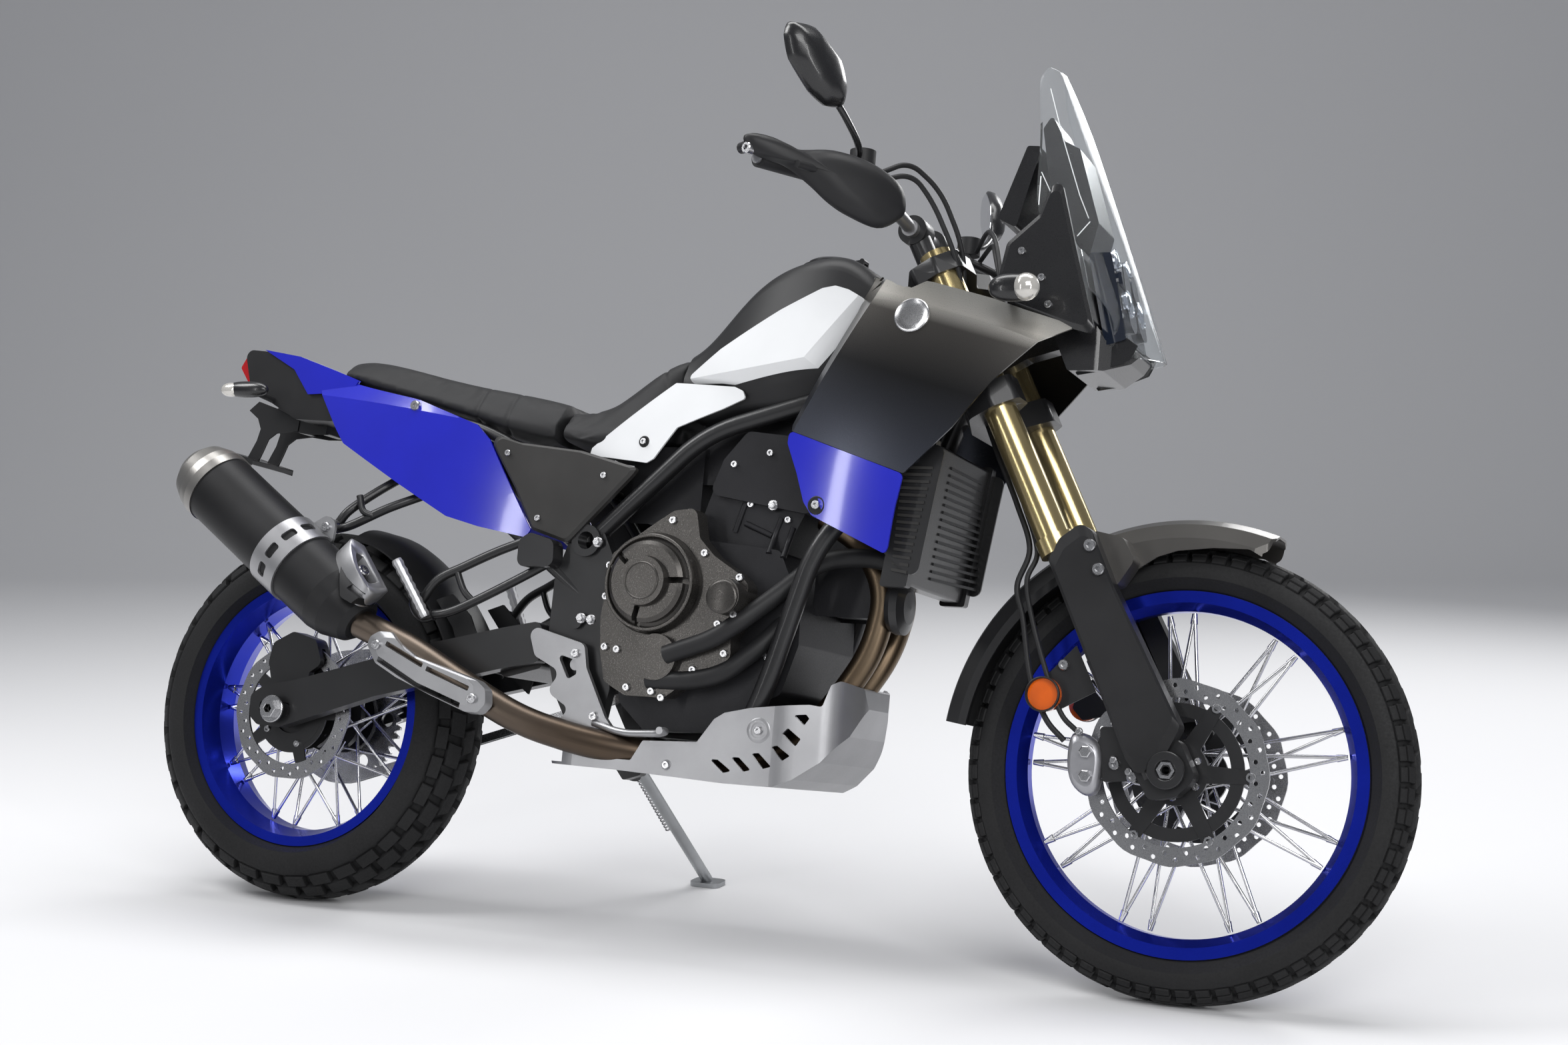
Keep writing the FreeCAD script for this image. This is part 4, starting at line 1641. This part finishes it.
# Foot pegs on their plates, for the rider and the passenger
peg_plate_shares = [
    (0.312, 0.581), (0.382, 0.549), (0.387, 0.504), (0.414, 0.414), (0.436, 0.37),
    (0.399, 0.368), (0.351, 0.361), (0.357, 0.4), (0.372, 0.424), (0.342, 0.455),
    (0.357, 0.493), (0.324, 0.521),
]
peg_plate_inner = d.pivot_plate_outer + d.overrun * 3
peg_plate = slab(peg_plate_shares, -peg_plate_inner - d.guard_wall * 2, -peg_plate_inner, d.corner_round)
plate_window = slab([
    (0.351, 0.528), (0.374, 0.517), (0.376, 0.491), (0.366, 0.48),
], -d.half_width, 0, d.tight_round)
plate_stud = disc(spot(0.37, 0, 0.51), d.bolt_radius * 2, -peg_plate_inner, -d.pivot_plate_outer)
plate_foot = disc(spot(0.3825, 0, 0.386), d.bolt_radius * 2, -peg_plate_inner, -d.pivot_plate_outer)
peg_shares = [
    (0.364, -0.333, 0.44),
]
peg_start = spots(peg_shares)[0]
peg = plate([peg_start + Vector(-d.pivot_radius, 0, 0), peg_start + Vector(d.pivot_radius, 0, 0),
             Vector(peg_start.x + d.pivot_radius, -d.half_width * 0.52, peg_start.z),
             Vector(peg_start.x - d.pivot_radius, -d.half_width * 0.52, peg_start.z)], UP * d.corner_round,
             d.corner_round)
pedal_shares = [
    (0.401, -0.307, 0.402), (0.439, -0.333, 0.386), (0.489, -0.373, 0.391),
    (0.502, -0.422, 0.395), (0.502, -0.48, 0.395),
]
pedal = rod(spots(pedal_shares), d.bolt_radius * 1.2)
right_pegs = less(joined(less(peg_plate, plate_window), plate_stud, plate_foot, peg, pedal),
                  *shape_of("main_frame", "swingarm", "exhaust_pipes", "muffler_guards", "engine_covers",
                            "skid_plate",
                            "muffler"))
right_pegs = biggest(right_pegs)
left_plate = other_side(joined(less(peg_plate, plate_window), plate_stud, plate_foot, peg, pedal))
left_pegs = less(left_plate, *shape_of("main_frame", "swingarm", "skid_plate", "engine_covers",
                                       "drive_chain"))
keep("rider_pegs", Part.makeCompound([right_pegs, biggest(left_pegs)]))
hanger_routes = [[
    (0.188, -0.276, 0.878), (0.164, -0.316, 0.8), (0.171, -0.338, 0.686),
    (0.182, -0.338, 0.594),
],
                 [
    (0.295, -0.271, 0.743), (0.251, -0.307, 0.709), (0.207, -0.333, 0.64),
    (0.182, -0.338, 0.59),
]]
hanger = joined(*[rod(spots(route), d.subframe_tube) for route in hanger_routes])
passenger_peg_shares = [
    (0.173, -0.356, 0.681), (0.196, -0.364, 0.585),
]
passenger_start, passenger_end = spots(passenger_peg_shares)
passenger_peg = bar(passenger_start, passenger_end, d.bolt_radius * 2.6)
right_hanger_route = [
    (0.164, -0.311, 0.789), (0.119, -0.333, 0.846), (0.075, -0.338, 0.8),
    (0.06, -0.333, 0.743),
]
muffler_hanger = rod(spots(right_hanger_route), d.subframe_tube * 0.9)
left_hanger = joined(hanger, passenger_peg)
right_hanger = less(joined(left_hanger, muffler_hanger),
                    *shape_of("main_frame", "muffler", "muffler_guards", "exhaust_pipes",
                                                                  "side_covers", "tail_panels",
                                                                  "rear_brake", "swingarm"))
right_hanger = biggest(right_hanger)
left_hanger = less(other_side(left_hanger), *shape_of("main_frame", "side_covers", "tail_panels", "swingarm"))
keep("peg_hangers", Part.makeCompound([right_hanger, biggest(left_hanger)]))

# Side stand: leg, foot and spring, standing on the floor under the lean
stand_pivot = Vector(0.3665 * d.wheelbase, d.pivot_plate_outer + d.stand_tube + d.overrun * 0.6,
                     0.334 * d.seat_height)
foot_reach = 0.39 * d.wheelbase
foot_side = d.half_width * 0.872
floor_lift = lift
foot_up = (floor_lift * -1 + foot_side * math.sin(lean)) / math.cos(lean)
stand_foot = Vector(foot_reach, foot_side, foot_up)
down_way = (stand_foot - stand_pivot).normalize()
stow_way = Vector(-1, 0.1, -0.02).normalize()
stand_axis = down_way.cross(stow_way).normalize()
floor_way = Vector(0, -math.sin(lean), math.cos(lean))
leg_start = stand_pivot + down_way * d.stand_tube * 1.6
foot_top = stand_foot + floor_way * d.overrun * 2.4
stand_leg = bar(leg_start, foot_top, d.stand_tube * 0.8)
knuckle = bar(stand_pivot - stand_axis * d.stand_tube, stand_pivot + stand_axis * d.stand_tube,
              d.stand_tube * 1.7)
foot_side_way = floor_way.cross(FORWARD).normalize()
foot_half = d.stand_tube * 2.2
foot_corners = [stand_foot + FORWARD * x * foot_half + foot_side_way * y * foot_half
                for x, y in ((-1, -0.8), (1.1, -0.8), (1.1, 0.8), (-1, 0.8))]
foot_plate = plate(foot_corners, floor_way * d.overrun * 2, d.corner_round)
stand = joined(stand_leg, knuckle, foot_plate)
pin_bore = bar(stand_pivot - stand_axis * d.stand_tube * 3, stand_pivot + stand_axis * d.stand_tube * 3,
               d.stand_pin_radius + d.pin_gap)
keep("side_stand", less(stand, pin_bore))
pin = bar(stand_pivot - stand_axis * d.stand_tube * 1.9, stand_pivot + stand_axis * d.stand_tube * 1.3,
          d.stand_pin_radius)
cheek = bar(stand_pivot - stand_axis * d.stand_tube * 1.9, stand_pivot - stand_axis * d.stand_tube * 1.1,
            d.stand_tube * 1.5)
carrier_points = [stand_pivot - stand_axis * d.stand_tube * 1.5,
                  Vector(stand_pivot.x, d.pivot_plate_outer - d.overrun, stand_pivot.z + d.stand_tube)]
carrier = bar(carrier_points[0], carrier_points[1], d.stand_tube)
stand_mount = joined(pin, cheek, carrier)
stand_room = bar(stand_pivot - stand_axis * (d.stand_tube + d.running_gap),
                 stand_pivot + stand_axis * d.stand_tube * 2, d.stand_tube * 2.3)
stand_mount = joined(less(stand_mount, less(stand_room, pin)), pin)
mounted = joined(less(nodes["main_frame"].Shape, stand_room), less(stand_mount, *shape_of("skid_plate")))
mounted = max(mounted.Solids, key=lambda solid: solid.Volume)
nodes["main_frame"].Shape = solid_of(mounted)


# Lean the whole machine onto its side stand, with the middle of its footprint at the origin
lean_turn = Placement(Vector(0, 0, lift), Rotation(FORWARD, -d.lean_angle))
doc.recompute()
everything = Part.makeCompound([node.Shape for node in nodes.values()])
everything.Placement = lean_turn
reach = everything.optimalBoundingBox(True, False)
stand_pose = Placement(Vector(-reach.Center.x, -reach.Center.y, -reach.ZMin), Rotation()).multiply(lean_turn)
for node in nodes.values():
    node.Placement = stand_pose.multiply(node.Placement)
doc.recompute()

# Check every object and write each node's file
for item in doc.Objects:
    if "Invalid" in item.State or "Error" in item.State:
        raise RuntimeError(f"{item.Label} failed: {item.State}")
for label, node in nodes.items():
    shape = node.Shape
    if shape.isNull() or not shape.isValid():
        raise RuntimeError(f"{label} has no valid shape")
    if not shape.Solids or min(solid.Volume for solid in shape.Solids) <= 0:
        raise RuntimeError(f"{label} has no sound solid")
os.makedirs("parts", exist_ok=True)
for label, node in nodes.items():
    node.Shape.exportStep(f"parts/{label}.step")


def place(point):
    """A point of the upright drawing in the finished part's frame, in metres."""
    moved = stand_pose.multVec(point)
    return [round(moved.x / 1000, 6), round(moved.y / 1000, 6), round(moved.z / 1000, 6)]


def way(vector):
    """A direction of the upright drawing in the finished part's frame."""
    moved = stand_pose.Rotation.multVec(vector)
    return [round(moved.x, 6), round(moved.y, 6), round(moved.z, 6)]


print("box", [round(value, 2) for value in (reach.XLength, reach.YLength, reach.ZLength, reach.ZMin)])
print("front axle", place(front_axle))
print("rear axle", place(rear_axle))
print("axle way", way(ALONG_Y))
print("steering", place(on_fork(0, 0, d.lower_clamp_top)), way(steer_axis))
print("stand", place(stand_pivot), way(stand_axis), "stow", way(stow_way))
print("cap", place(cap_hinge), way(UP))
print("frame eye", place(plate_eye))
